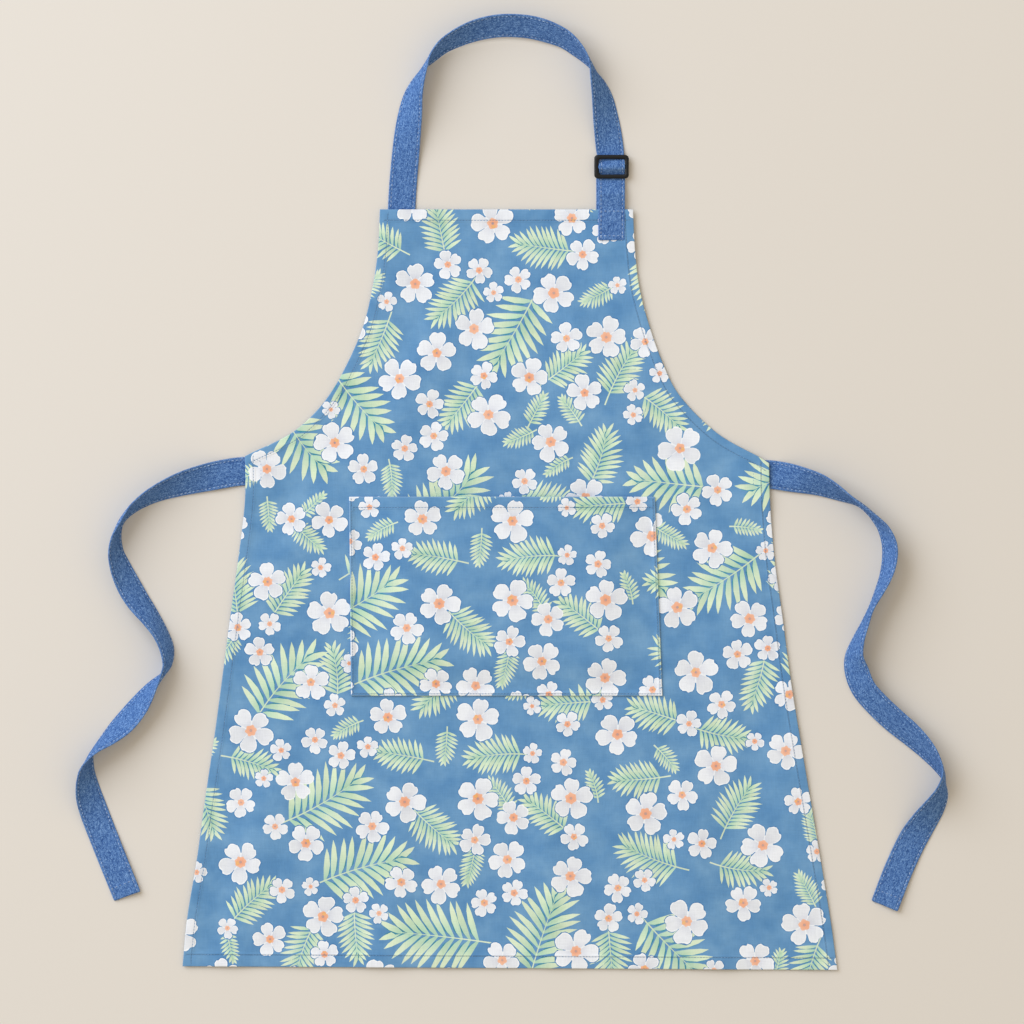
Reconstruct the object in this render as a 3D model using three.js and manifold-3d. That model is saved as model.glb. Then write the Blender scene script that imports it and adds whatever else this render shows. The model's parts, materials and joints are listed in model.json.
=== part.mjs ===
// A bib apron laid out flat on a surface, with its straps as they fell
//
// The cloth rests on z = 0 with the bib towards +Y and X across the body. While the pieces are
// built, y = 0 is the top edge of the bib and x = 0 the middle of the body, so the skirt's hem is
// at y = -BODY_LENGTH. The last lines move the whole apron over its own origin. Millimetres.
import * as THREE from 'three';
import { mergeVertices } from 'three/addons/utils/BufferGeometryUtils.js';
import Module from 'manifold-3d';

const wasm = await Module();
wasm.setup();

// Body panel: the bib and the skirt in one cut of cloth
const BODY_LENGTH = 811;
const HEM_WIDTH = 700;
const RIGHT_DROP = 4; // how much lower the hem hangs at its right corner
const CLOTH = 1; // one layer of cloth
const HEM_CLOTH = 2; // the turned hem, three thin layers pressed flat
const TOP_HEM = 13;
const SIDE_HEM = 10;
const BOTTOM_HEM = 14;
const HEM_STEP = 1.5; // the slope from a hem's thickness down to one layer
const GAP = 0.3; // between two pieces that touch

// Patch pocket on the front of the skirt
const POCKET_TOP = 307; // down from the top of the bib to the pocket's mouth
const POCKET_HEIGHT = 213;
const POCKET_WIDTH = 330;
const POCKET_FLARE = 6; // how much wider it is at its foot than at its mouth
const POCKET_SHIFT = -6; // its middle, across from the middle of the body
const POCKET_LEAN = 5; // how much further right its foot lies than its mouth
const POCKET_HEM = 13;
const POCKET_SEAM = 4; // the sewn margin, turned under
const POCKET_SEAM_CLOTH = 1.6;
const POCKET_EASE = 4.8; // how far the pocket's front stands off the skirt
const POCKET_SWELL = 0.2; // share of its width and height over which it comes up to that

// Straps: two layers of denim, sewn together along both edges
const STRAP_CLOTH = 1.8;
const NECK_WIDTH = 29.5;
const TIE_WIDTH = 30.5;
const STRAP_SEWN = 16; // how far a strap's end reaches behind the body
const NECK_INSET_LEFT = 8.5; // from the bib's corner to the strap's outer edge
const NECK_INSET_RIGHT = 9;
const NECK_RISE = 197; // from the bib's top edge to the middle of the strap at the arch
const LEFT_TIE_REACH = 181;
const LEFT_TIE_DROP = 454;
const RIGHT_TIE_REACH = 187;
const RIGHT_TIE_DROP = 461;
const LEFT_TIE_LOWER = 15.5; // from the waist's left corner down to the middle of the tie
const RIGHT_TIE_LOWER = 12.5;

// Slider buckle on the neck strap, and the short tab that holds it to the bib
const SLIDER_ABOVE_BIB = 45.5;
const SLIDER_WINDOW = 16.4;
const SLIDER_BAR = 4.2; // the two bars that cross the strap
const SLIDER_SIDE = 2.6;
const SLIDER_THICK = 3.2;
const SLIDER_ROUND = 4;
const SLIDER_BEVEL = 0.6;
const SLIDER_PLAY = 0.5; // at each edge of the strap
const BAR_WIDE = 4; // the hidden middle bar, an oval rod
const BAR_THICK = 2.4;
const BAR_SINK = 0.8; // how far it lies below the frame's underside
const TAB_WALL = 1; // one layer of the folded tab
const TAIL_LENGTH = 33; // of the neck strap's free end over the bib
const TAIL_RUN = 2; // it is up over the bib's hem this far before the edge
const TURN_ANGLES = [37, 54, 72, 90, 108, 126, 143]; // the strap's sections over the middle bar
const LIFT_RUN = 30; // the cloth comes down over this length beside a sewn end

// Fineness of the cloth
const ROW_STEP = 24; // longest step down the body
const BODY_COLUMNS = 18;
const POCKET_STEP = 20;
const STRAP_COLUMNS = 3;
const STEPS_PER_ROW = 2;
const BAR_SIDES = 16;
const BEND_SIDES = 4; // of each rounded corner of the slider
const WELD = 1e-4; // corners closer than this are one corner

const CLOTH_BLUE = '#5b8fc0';
const DENIM_BLUE = '#4a74ad';
const SLIDER_BLACK = '#17181b';

// The body's outline from the top of the bib down: down is a share of BODY_LENGTH, left and right
// are shares of half the hem's width
const OUTLINE = [
  { down: 0, left: 0.397, right: 0.376 },
  { down: 0.053, left: 0.403, right: 0.382 },
  { down: 0.106, left: 0.421, right: 0.397 },
  { down: 0.159, left: 0.452, right: 0.43 },
  { down: 0.212, left: 0.507, right: 0.476 },
  { down: 0.238, left: 0.541, right: 0.507 },
  { down: 0.264, left: 0.586, right: 0.556 },
  { down: 0.291, left: 0.653, right: 0.623 },
  { down: 0.304, left: 0.702, right: 0.666 },
  { down: 0.32, left: 0.782, right: 0.736 },
  { down: 0.326, left: 0.809, right: 0.763 },
  { down: 0.334, left: 0.809, right: 0.791 },
  { down: 0.383, left: 0.809, right: 0.794 },
  { down: 0.462, left: 0.83, right: 0.809 },
  { down: 0.541, left: 0.855, right: 0.834 },
  { down: 0.62, left: 0.879, right: 0.858 },
  { down: 0.7, left: 0.904, right: 0.888 },
  { down: 0.779, left: 0.931, right: 0.919 },
  { down: 0.858, left: 0.956, right: 0.95 },
  { down: 0.937, left: 0.986, right: 0.98 },
  { down: 1, left: 1, right: 1 },
];
const LEFT_CORNER_ROW = 10; // the rows of the waist's corners, where the ties are sewn on
const RIGHT_CORNER_ROW = 11;
const HALF_HEM = HEM_WIDTH / 2;

// Soft ripples in the cloth. across is a share of half the hem's width and down of BODY_LENGTH,
// long and wide are half lengths as shares of BODY_LENGTH, turn is in degrees from +X
const RIPPLE_HEIGHT = 2.6;
const RIPPLES = [
  { across: -0.78, down: 0.86, long: 0.2, wide: 0.045, turn: 78, tall: 0.9 },
  { across: -0.36, down: 0.93, long: 0.16, wide: 0.05, turn: 84, tall: 1 },
  { across: 0.14, down: 0.92, long: 0.15, wide: 0.055, turn: 95, tall: 0.8 },
  { across: 0.58, down: 0.9, long: 0.18, wide: 0.05, turn: 101, tall: 1 },
  { across: 0.86, down: 0.8, long: 0.17, wide: 0.035, turn: 104, tall: 0.7 },
  { across: -0.72, down: 0.5, long: 0.16, wide: 0.05, turn: 70, tall: 0.7 },
  { across: 0.74, down: 0.52, long: 0.17, wide: 0.05, turn: 108, tall: 0.8 },
  { across: -0.3, down: 0.24, long: 0.13, wide: 0.05, turn: 60, tall: 0.8 },
  { across: 0.28, down: 0.22, long: 0.14, wide: 0.05, turn: 125, tall: 0.8 },
];

// The neck strap from the bib's left corner round to its slider. across is a share of the way from
// the left leg to the right one, up a share of NECK_RISE. roll turns the band about its own way,
// below zero with its inner edge up, and curl bends it across its width, both in degrees
const NECK_ROUTE = [
  { across: 0, up: 0, roll: 0, curl: 0 },
  { across: 0.006, up: 0.128, roll: 0, curl: 0 },
  { across: 0.018, up: 0.29, roll: -6, curl: 4 },
  { across: 0.029, up: 0.421, roll: -18, curl: 8 },
  { across: 0.041, up: 0.529, roll: -31, curl: 14 },
  { across: 0.052, up: 0.616, roll: -47, curl: 24 },
  { across: 0.067, up: 0.681, roll: -60, curl: 36 },
  { across: 0.088, up: 0.741, roll: -74, curl: 46 },
  { across: 0.112, up: 0.79, roll: -90, curl: 50 },
  { across: 0.143, up: 0.836, roll: -106, curl: 44 },
  { across: 0.191, up: 0.888, roll: -117, curl: 32 },
  { across: 0.257, up: 0.931, roll: -127, curl: 22 },
  { across: 0.353, up: 0.974, roll: -137, curl: 14 },
  { across: 0.448, up: 0.996, roll: -142, curl: 10 },
  { across: 0.52, up: 1, roll: -143, curl: 10 },
  { across: 0.615, up: 0.991, roll: -143, curl: 10 },
  { across: 0.701, up: 0.966, roll: -139, curl: 14 },
  { across: 0.782, up: 0.928, roll: -129, curl: 24 },
  { across: 0.839, up: 0.879, roll: -119, curl: 36 },
  { across: 0.882, up: 0.831, roll: -106, curl: 46 },
  { across: 0.913, up: 0.779, roll: -90, curl: 50 },
  { across: 0.934, up: 0.719, roll: -68, curl: 42 },
  { across: 0.949, up: 0.665, roll: -54, curl: 32 },
  { across: 0.963, up: 0.594, roll: -39, curl: 20 },
  { across: 0.975, up: 0.502, roll: -24, curl: 10 },
  { across: 0.987, up: 0.404, roll: -9, curl: 0 },
  { across: 0.996, up: 0.323, roll: 0, curl: 0 },
];

// The waist ties from the body's edge to their free ends. across is a share of the tie's reach away
// from the body and down a share of its drop; roll and curl as on the neck strap
const LEFT_TIE_ROUTE = [
  { across: 0, down: 0, roll: 0, curl: 0 },
  { across: 0.06, down: 0.002, roll: 0, curl: 0 },
  { across: 0.148, down: 0.008, roll: -4, curl: 0 },
  { across: 0.266, down: 0.018, roll: -20, curl: -6 },
  { across: 0.385, down: 0.03, roll: -36, curl: -14 },
  { across: 0.503, down: 0.046, roll: -53, curl: -26 },
  { across: 0.592, down: 0.063, roll: -64, curl: -36 },
  { across: 0.68, down: 0.088, roll: -76, curl: -44 },
  { across: 0.74, down: 0.118, roll: -86, curl: -50 },
  { across: 0.769, down: 0.153, roll: -74, curl: -40 },
  { across: 0.766, down: 0.191, roll: -60, curl: -20 },
  { across: 0.74, down: 0.222, roll: -47, curl: -8 },
  { across: 0.686, down: 0.268, roll: -34, curl: 0 },
  { across: 0.627, down: 0.306, roll: -38, curl: 8 },
  { across: 0.553, down: 0.344, roll: -51, curl: 16 },
  { across: 0.488, down: 0.382, roll: -60, curl: 26 },
  { across: 0.447, down: 0.42, roll: -63, curl: 38 },
  { across: 0.444, down: 0.458, roll: -76, curl: 48 },
  { across: 0.479, down: 0.482, roll: -92, curl: 50 },
  { across: 0.547, down: 0.515, roll: -117, curl: 34 },
  { across: 0.624, down: 0.553, roll: -136, curl: 12 },
  { across: 0.71, down: 0.591, roll: -140, curl: -8 },
  { across: 0.799, down: 0.622, roll: -124, curl: -30 },
  { across: 0.876, down: 0.646, roll: -105, curl: -46 },
  { across: 0.92, down: 0.669, roll: -88, curl: -50 },
  { across: 0.941, down: 0.698, roll: -64, curl: -34 },
  { across: 0.941, down: 0.724, roll: -48, curl: -18 },
  { across: 0.923, down: 0.762, roll: -25, curl: -4 },
  { across: 0.893, down: 0.8, roll: -8, curl: 0 },
  { across: 0.82, down: 0.876, roll: 0, curl: 0 },
  { across: 0.695, down: 1, roll: 0, curl: 0 },
];
const RIGHT_TIE_ROUTE = [
  { across: 0, down: 0, roll: 0, curl: 0 },
  { across: 0.06, down: 0.003, roll: 0, curl: 0 },
  { across: 0.178, down: 0.012, roll: 24, curl: -6 },
  { across: 0.292, down: 0.023, roll: 42, curl: -18 },
  { across: 0.407, down: 0.042, roll: 64, curl: -36 },
  { across: 0.51, down: 0.064, roll: 86, curl: -44 },
  { across: 0.582, down: 0.087, roll: 84, curl: -44 },
  { across: 0.625, down: 0.105, roll: 77, curl: -40 },
  { across: 0.659, down: 0.124, roll: 70, curl: -34 },
  { across: 0.691, down: 0.161, roll: 61, curl: -26 },
  { across: 0.691, down: 0.198, roll: 61, curl: -22 },
  { across: 0.668, down: 0.235, roll: 67, curl: -14 },
  { across: 0.625, down: 0.272, roll: 75, curl: 0 },
  { across: 0.576, down: 0.309, roll: 83, curl: 14 },
  { across: 0.536, down: 0.346, roll: 77, curl: 24 },
  { across: 0.499, down: 0.384, roll: 68, curl: 24 },
  { across: 0.481, down: 0.421, roll: 53, curl: 16 },
  { across: 0.499, down: 0.458, roll: 33, curl: 6 },
  { across: 0.536, down: 0.495, roll: 33, curl: 0 },
  { across: 0.613, down: 0.532, roll: 32, curl: 0 },
  { across: 0.711, down: 0.569, roll: 31, curl: -6 },
  { across: 0.822, down: 0.606, roll: 39, curl: -16 },
  { across: 0.917, down: 0.643, roll: 54, curl: -34 },
  { across: 0.98, down: 0.678, roll: 74, curl: -48 },
  { across: 1, down: 0.701, roll: 91, curl: -50 },
  { across: 0.986, down: 0.736, roll: 120, curl: -30 },
  { across: 0.951, down: 0.764, roll: 136, curl: -14 },
  { across: 0.874, down: 0.81, roll: 160, curl: 0 },
  { across: 0.819, down: 0.847, roll: 176, curl: 0 },
  { across: 0.734, down: 0.921, roll: 180, curl: 0 },
  { across: 0.659, down: 1, roll: 180, curl: 0 },
];

// Places that more than one piece uses
const neckLeftX = -OUTLINE[0].left * HALF_HEM + NECK_INSET_LEFT + NECK_WIDTH / 2;
const neckRightX = OUTLINE[0].right * HALF_HEM - NECK_INSET_RIGHT - NECK_WIDTH / 2;
const leftTieDown = OUTLINE[LEFT_CORNER_ROW].down * BODY_LENGTH + LEFT_TIE_LOWER;
const rightTieDown = OUTLINE[RIGHT_CORNER_ROW].down * BODY_LENGTH + RIGHT_TIE_LOWER;
const tongueThick = 2 * TAB_WALL;
const overTab = tongueThick + GAP;
const frameBottom = overTab + STRAP_CLOTH + GAP;
const barMiddle = frameBottom + BAR_THICK / 2 - BAR_SINK;
const clearOfBar = SLIDER_WINDOW / 2 - 2 * GAP;
const eyeWide = BAR_WIDE / 2 + GAP + TAB_WALL;
const eyeTall = BAR_THICK / 2 + GAP + TAB_WALL;

// The ends that are sewn behind the body, each with the lift that it gives the cloth over it
const overStrap = STRAP_CLOTH + GAP;
const tieSewn = { wide: 2 * STRAP_SEWN, long: TIE_WIDTH, lift: overStrap };
const sewnEnds = [
  { x: neckLeftX, y: -STRAP_SEWN / 2, wide: NECK_WIDTH, long: STRAP_SEWN, lift: overStrap },
  { x: neckRightX, y: -TAIL_LENGTH / 2, wide: NECK_WIDTH, long: TAIL_LENGTH, lift: overTab },
  { x: -edgeAt(leftTieDown, 'left'), y: -leftTieDown, ...tieSewn },
  { x: edgeAt(rightTieDown, 'right'), y: -rightTieDown, ...tieSewn },
];
const liftMarginX = (HEM_WIDTH * OUTLINE[LEFT_CORNER_ROW].left) / BODY_COLUMNS;
const liftMarginY = ROW_STEP;

// The body's edge at a distance down from the bib's top, straight between the outline's rows
function edgeAt(down, side) {
  const share = THREE.MathUtils.clamp(down / BODY_LENGTH, 0, 1);
  const next = Math.max(1, OUTLINE.findIndex((row) => row.down >= share));
  const [above, below] = [OUTLINE[next - 1], OUTLINE[next]];
  const part = (share - above.down) / (below.down - above.down);
  return THREE.MathUtils.lerp(above[side], below[side], part) * HALF_HEM;
}

// How high the cloth's underside lies at a place: over the sewn ends and along the ripples
function clothLift(x, y) {
  let lift = 0;
  for (const end of sewnEnds) {
    const pastX = Math.max(0, Math.abs(x - end.x) - end.wide / 2 - liftMarginX);
    const pastY = Math.max(0, Math.abs(y - end.y) - end.long / 2 - liftMarginY);
    const past = Math.min(1, Math.hypot(pastX, pastY) / LIFT_RUN);
    lift = Math.max(lift, end.lift * (1 - past * past * (3 - 2 * past)));
  }
  for (const ripple of RIPPLES) {
    const turn = THREE.MathUtils.degToRad(ripple.turn);
    const fromX = x - ripple.across * HALF_HEM;
    const fromY = y + ripple.down * BODY_LENGTH;
    const along = (fromX * Math.cos(turn) + fromY * Math.sin(turn)) / (ripple.long * BODY_LENGTH);
    const aside = (fromY * Math.cos(turn) - fromX * Math.sin(turn)) / (ripple.wide * BODY_LENGTH);
    const inside = Math.max(0, 1 - along * along - aside * aside);
    lift = Math.max(lift, ripple.tall * RIPPLE_HEIGHT * inside * inside);
  }
  return lift;
}

// A closed piece of cloth from its sections, each with as many points over as under
function loft(sections) {
  const columns = sections[0].over.length;
  const points = sections.flatMap((section) => [...section.over, ...section.under]);
  const over = (row, column) => row * 2 * columns + column;
  const under = (row, column) => over(row, column) + columns;
  const faces = [];
  const quad = (a, b, c, d) => faces.push(a, b, c, a, c, d);
  const last = sections.length - 1;
  for (let row = 0; row < last; row += 1) {
    for (let column = 0; column < columns - 1; column += 1) {
      const [next, beside] = [row + 1, column + 1];
      quad(over(row, column), over(next, column), over(next, beside), over(row, beside));
      quad(under(row, column), under(row, beside), under(next, beside), under(next, column));
    }
    const end = columns - 1;
    quad(over(row, 0), under(row, 0), under(row + 1, 0), over(row + 1, 0));
    quad(over(row, end), over(row + 1, end), under(row + 1, end), under(row, end));
  }
  for (let column = 0; column < columns - 1; column += 1) {
    quad(over(0, column), over(0, column + 1), under(0, column + 1), under(0, column));
    quad(over(last, column), under(last, column), under(last, column + 1), over(last, column + 1));
  }
  const places = points.flatMap((point) => point.toArray());
  const geometry = new THREE.BufferGeometry();
  geometry.setAttribute('position', new THREE.Float32BufferAttribute(places, 3));
  geometry.setIndex(faces);
  return geometry;
}

// Places from low to high, with no step longer than the longest one allowed
function fillSteps(places, longest) {
  const filled = [];
  places.slice(1).forEach((place, index) => {
    const from = places[index];
    const steps = Math.ceil((place - from) / longest);
    for (let step = 0; step < steps; step += 1) filled.push(from + ((place - from) * step) / steps);
  });
  return [...filled, places.at(-1)];
}

// The body panel follows its outline, thicker along its turned hems
function bodyPanel() {
  const bottomHem = BODY_LENGTH - BOTTOM_HEM;
  const hemRows = [TOP_HEM, TOP_HEM + HEM_STEP, bottomHem - HEM_STEP, bottomHem];
  const marked = [...OUTLINE.map((row) => row.down * BODY_LENGTH), ...hemRows];
  const downs = fillSteps(marked.sort((a, b) => a - b), ROW_STEP);
  return loft(downs.map((down) => {
    const left = edgeAt(down, 'left');
    const right = edgeAt(down, 'right');
    const innerLeft = -left + SIDE_HEM + HEM_STEP;
    const innerRight = right - SIDE_HEM - HEM_STEP;
    const inner = Array.from({ length: BODY_COLUMNS + 1 }, (_, column) => (
      THREE.MathUtils.lerp(innerLeft, innerRight, column / BODY_COLUMNS)));
    const across = [-left, -left + SIDE_HEM, ...inner, right - SIDE_HEM, right];
    const inHemRow = down <= TOP_HEM || down >= bottomHem;
    const section = { over: [], under: [] };
    across.forEach((x, column) => {
      const inHem = inHemRow || column < 2 || column > across.length - 3;
      const y = -down - (RIGHT_DROP * x * down) / (HEM_WIDTH * BODY_LENGTH);
      const low = clothLift(x, y);
      section.over.push(new THREE.Vector3(x, y, low + (inHem ? HEM_CLOTH : CLOTH)));
      section.under.push(new THREE.Vector3(x, y, low));
    });
    return section;
  }));
}

// The pocket is sewn down along three sides, and its front stands off the skirt between them
function pocket() {
  const sewnRise = CLOTH + GAP;
  const swell = (share) => THREE.MathUtils.smoothstep(share, 0, POCKET_SWELL);
  const pastSeam = POCKET_SEAM + HEM_STEP;
  const inner = fillSteps([pastSeam, POCKET_WIDTH - pastSeam], POCKET_STEP);
  const across = [0, POCKET_SEAM, ...inner, POCKET_WIDTH - POCKET_SEAM, POCKET_WIDTH];
  const belowHem = fillSteps([POCKET_HEM + HEM_STEP, POCKET_HEIGHT - pastSeam], POCKET_STEP);
  const downs = [0, POCKET_HEM, ...belowHem, POCKET_HEIGHT - POCKET_SEAM, POCKET_HEIGHT];
  return loft(downs.map((down) => {
    const section = { over: [], under: [] };
    for (const side of across) {
      const fromSeam = Math.max(0, Math.min(side, POCKET_WIDTH - side) - POCKET_SEAM);
      const fromFoot = Math.max(0, POCKET_HEIGHT - down - POCKET_SEAM);
      const ease = swell(fromSeam / POCKET_WIDTH) * swell(fromFoot / POCKET_HEIGHT);
      const low = sewnRise + POCKET_EASE * ease;
      const sewn = fromSeam === 0 || fromFoot === 0;
      const belowHemThick = sewn ? POCKET_SEAM_CLOTH : CLOTH;
      const thick = down <= POCKET_HEM ? HEM_CLOTH : belowHemThick;
      const lower = down / POCKET_HEIGHT - 0.5;
      const aside = (side / POCKET_WIDTH - 0.5) * (POCKET_WIDTH + POCKET_FLARE * lower);
      const x = POCKET_SHIFT + POCKET_LEAN * lower + aside;
      const y = -POCKET_TOP - down;
      section.over.push(new THREE.Vector3(x, y, low + thick));
      section.under.push(new THREE.Vector3(x, y, low));
    }
    return section;
  }));
}

// One section of a strap: a band that turns about its way by roll and bends across by curl.
// way is the direction along the strap, and the points come out around its middle
function strapSection(way, width, roll, curl) {
  const side = new THREE.Vector3(0, 0, 1).cross(way).normalize();
  const up = way.clone().cross(side);
  const turn = THREE.MathUtils.degToRad(roll);
  const across = side.clone().multiplyScalar(Math.cos(turn)).addScaledVector(up, Math.sin(turn));
  const normal = up.multiplyScalar(Math.cos(turn)).addScaledVector(side, -Math.sin(turn));
  const bend = THREE.MathUtils.degToRad(curl);
  const section = { over: [], under: [] };
  for (let column = 0; column <= STRAP_COLUMNS; column += 1) {
    const share = column / STRAP_COLUMNS - 0.5;
    const angle = bend * share;
    const radius = bend === 0 ? 0 : width / bend;
    const aside = bend === 0 ? width * share : radius * Math.sin(angle);
    const sag = radius * (Math.cos(angle) - 1);
    const middle = across.clone().multiplyScalar(aside).addScaledVector(normal, sag);
    const outward = normal.clone().multiplyScalar(Math.cos(angle));
    outward.addScaledVector(across, Math.sin(angle));
    section.over.push(middle.clone().addScaledVector(outward, STRAP_CLOTH / 2));
    section.under.push(middle.clone().addScaledVector(outward, -STRAP_CLOTH / 2));
  }
  return section;
}

// A strap from its rows of x, y, rise, roll and curl. It lies with its lowest edge on the surface,
// or above it by the row's rise
function strap(rows, width) {
  const route = new THREE.CatmullRomCurve3(rows.map((row) => new THREE.Vector3(row.x, row.y, 0)));
  const places = (rows.length - 1) * STEPS_PER_ROW;
  const samples = Array.from({ length: places + 1 }, (_, place) => {
    const first = Math.min(Math.floor(place / STEPS_PER_ROW), rows.length - 2);
    const part = place / STEPS_PER_ROW - first;
    const [above, below] = [rows[first], rows[first + 1]];
    const between = (column) => THREE.MathUtils.lerp(above[column], below[column], part);
    const [rise, roll, curl] = ['rise', 'roll', 'curl'].map(between);
    const flat = strapSection(route.getTangent(place / places), width, roll, curl);
    const lowest = Math.min(...[...flat.over, ...flat.under].map((point) => point.z));
    const middle = route.getPoint(place / places).setZ(rise - lowest);
    return { middle, rise, roll, curl };
  });
  return loft(samples.map(({ middle, rise, roll, curl }, place) => {
    const before = samples[Math.max(0, place - 1)].middle;
    const after = samples[Math.min(places, place + 1)].middle;
    const section = strapSection(after.clone().sub(before).normalize(), width, roll, curl);
    const lowest = Math.min(...[...section.over, ...section.under].map((point) => point.z));
    const up = Math.max(0, rise - lowest - middle.z);
    const move = (point) => point.add(middle).setZ(point.z + up);
    return { over: section.over.map(move), under: section.under.map(move) };
  }));
}

// The neck strap: sewn behind the bib, over the arch, through the slider and down over the bib
function neckStrap() {
  const spread = neckRightX - neckLeftX;
  const flat = (y, rise) => ({ x: neckRightX, y, rise, roll: 0, curl: 0 });
  const loop = NECK_ROUTE.map(({ across, up, roll, curl }) => (
    { x: neckLeftX + across * spread, y: up * NECK_RISE, rise: 0, roll, curl }));
  const wide = eyeWide + GAP + STRAP_CLOTH / 2;
  const tall = eyeTall + GAP + STRAP_CLOTH / 2;
  const overBar = TURN_ANGLES.map((degrees) => {
    const angle = THREE.MathUtils.degToRad(degrees);
    const height = barMiddle + tall * Math.sin(angle) - STRAP_CLOTH / 2;
    return flat(SLIDER_ABOVE_BIB + wide * Math.cos(angle), height);
  });
  const overHem = overTab + HEM_CLOTH + GAP;
  return strap([
    { x: neckLeftX, y: -STRAP_SEWN, rise: 0, roll: 0, curl: 0 },
    ...loop,
    flat(SLIDER_ABOVE_BIB + clearOfBar, overTab),
    ...overBar,
    flat(SLIDER_ABOVE_BIB - clearOfBar, overTab),
    flat(SLIDER_ABOVE_BIB - SLIDER_WINDOW / 2 - SLIDER_BAR, overTab),
    flat(TAIL_RUN, overHem),
    flat(-TAIL_LENGTH / 2, overHem),
    flat(-TAIL_LENGTH, overHem),
  ], NECK_WIDTH);
}

// A waist tie, sewn behind the body's edge. reach is below zero on the left
function waistTie(route, edge, top, reach, drop) {
  const inward = -Math.sign(reach) * STRAP_SEWN;
  const rows = route.map(({ across, down, roll, curl }) => (
    { x: edge + across * reach, y: -top - down * drop, rise: 0, roll, curl }));
  return strap([{ x: edge + inward, y: -top, rise: 0, roll: 0, curl: 0 }, ...rows], TIE_WIDTH);
}

function leftTie() {
  const edge = -edgeAt(leftTieDown, 'left');
  return waistTie(LEFT_TIE_ROUTE, edge, leftTieDown, -LEFT_TIE_REACH, LEFT_TIE_DROP);
}

function rightTie() {
  const edge = edgeAt(rightTieDown, 'right');
  return waistTie(RIGHT_TIE_ROUTE, edge, rightTieDown, RIGHT_TIE_REACH, RIGHT_TIE_DROP);
}

// Solids that are joined or cut
function toSolid(geometry) {
  const bare = geometry.clone();
  bare.deleteAttribute('normal');
  bare.deleteAttribute('uv');
  const merged = mergeVertices(bare, WELD);
  return new wasm.Manifold(new wasm.Mesh({
    numProp: 3,
    vertProperties: new Float32Array(merged.attributes.position.array),
    triVerts: new Uint32Array(merged.index.array),
  }));
}

function toGeometry(solid) {
  const mesh = solid.getMesh();
  const geometry = new THREE.BufferGeometry();
  const places = new Float32Array(mesh.vertProperties);
  geometry.setAttribute('position', new THREE.BufferAttribute(places, 3));
  geometry.setIndex(new THREE.BufferAttribute(new Uint32Array(mesh.triVerts), 1));
  return geometry;
}

function roundedRectangle(path, width, height, radius) {
  const [x, y] = [width / 2, height / 2];
  path.moveTo(x - radius, -y);
  path.absarc(x - radius, -y + radius, radius, -Math.PI / 2, 0);
  path.absarc(x - radius, y - radius, radius, 0, Math.PI / 2);
  path.absarc(-x + radius, y - radius, radius, Math.PI / 2, Math.PI);
  path.absarc(-x + radius, -y + radius, radius, Math.PI, 1.5 * Math.PI);
  path.closePath();
  return path;
}

// An oval rod across the strap, about the slider's middle bar
function ovalRod(wide, tall, length) {
  const rod = new THREE.CylinderGeometry(1, 1, length, BAR_SIDES);
  rod.rotateZ(Math.PI / 2);
  rod.scale(1, wide, tall);
  rod.translate(neckRightX, SLIDER_ABOVE_BIB, barMiddle);
  return toSolid(rod);
}

// The slider: a flat frame round one window, crossed by a hidden bar that the tab holds
function sliderBuckle() {
  const windowWidth = NECK_WIDTH + 2 * SLIDER_PLAY;
  const inset = 2 * SLIDER_BEVEL;
  const outline = roundedRectangle(new THREE.Shape(), windowWidth + 2 * SLIDER_SIDE - inset,
    SLIDER_WINDOW + 2 * SLIDER_BAR - inset, SLIDER_ROUND - SLIDER_BEVEL);
  const windowRound = SLIDER_ROUND - SLIDER_SIDE + SLIDER_BEVEL;
  outline.holes.push(roundedRectangle(new THREE.Path(), windowWidth + inset,
    SLIDER_WINDOW + inset, windowRound));
  const frame = new THREE.ExtrudeGeometry(outline, {
    depth: SLIDER_THICK - 2 * SLIDER_BEVEL,
    bevelThickness: SLIDER_BEVEL,
    bevelSize: SLIDER_BEVEL,
    bevelSegments: 1,
    curveSegments: BEND_SIDES,
  });
  frame.translate(neckRightX, SLIDER_ABOVE_BIB, frameBottom + SLIDER_BEVEL);
  const bar = ovalRod(BAR_WIDE / 2, BAR_THICK / 2, windowWidth + SLIDER_SIDE);
  return toGeometry(toSolid(frame).add(bar));
}

// The tab: folded round the slider's middle bar, its two layers sewn flat behind the bib
function buckleTab() {
  const eye = ovalRod(eyeWide, eyeTall, NECK_WIDTH);
  const hole = ovalRod(eyeWide - TAB_WALL, eyeTall - TAB_WALL, NECK_WIDTH + 2 * TAB_WALL);
  const foot = SLIDER_ABOVE_BIB - clearOfBar + TAB_WALL;
  const eyeEdge = SLIDER_ABOVE_BIB - BAR_WIDE / 2;
  const eyeFoot = barMiddle - eyeTall;
  const tongue = new THREE.Shape();
  tongue.moveTo(-TAIL_LENGTH, 0);
  tongue.lineTo(foot, 0);
  tongue.lineTo(eyeEdge + TAB_WALL, eyeFoot + TAB_WALL / 4);
  tongue.lineTo(eyeEdge - TAB_WALL / 2, eyeFoot + TAB_WALL / 4 + tongueThick);
  tongue.lineTo(foot, tongueThick);
  tongue.lineTo(-TAIL_LENGTH, tongueThick);
  tongue.closePath();
  const flat = new THREE.ExtrudeGeometry(tongue, { depth: NECK_WIDTH, bevelEnabled: false });
  // The outline is drawn as y and z, and its depth lies across the strap
  const [alongX, alongY, alongZ] = [0, 1, 2].map((axis) => new THREE.Vector3().setComponent(axis, 1));
  flat.applyMatrix4(new THREE.Matrix4().makeBasis(alongY, alongZ, alongX));
  flat.translate(neckRightX - NECK_WIDTH / 2, 0, 0);
  return toGeometry(toSolid(flat).add(eye).subtract(hole));
}

function piece(name, geometry, colour, roughness) {
  geometry.computeVertexNormals();
  const material = new THREE.MeshStandardMaterial({ color: colour, roughness, metalness: 0 });
  const mesh = new THREE.Mesh(geometry, material);
  mesh.name = name;
  return mesh;
}

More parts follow.
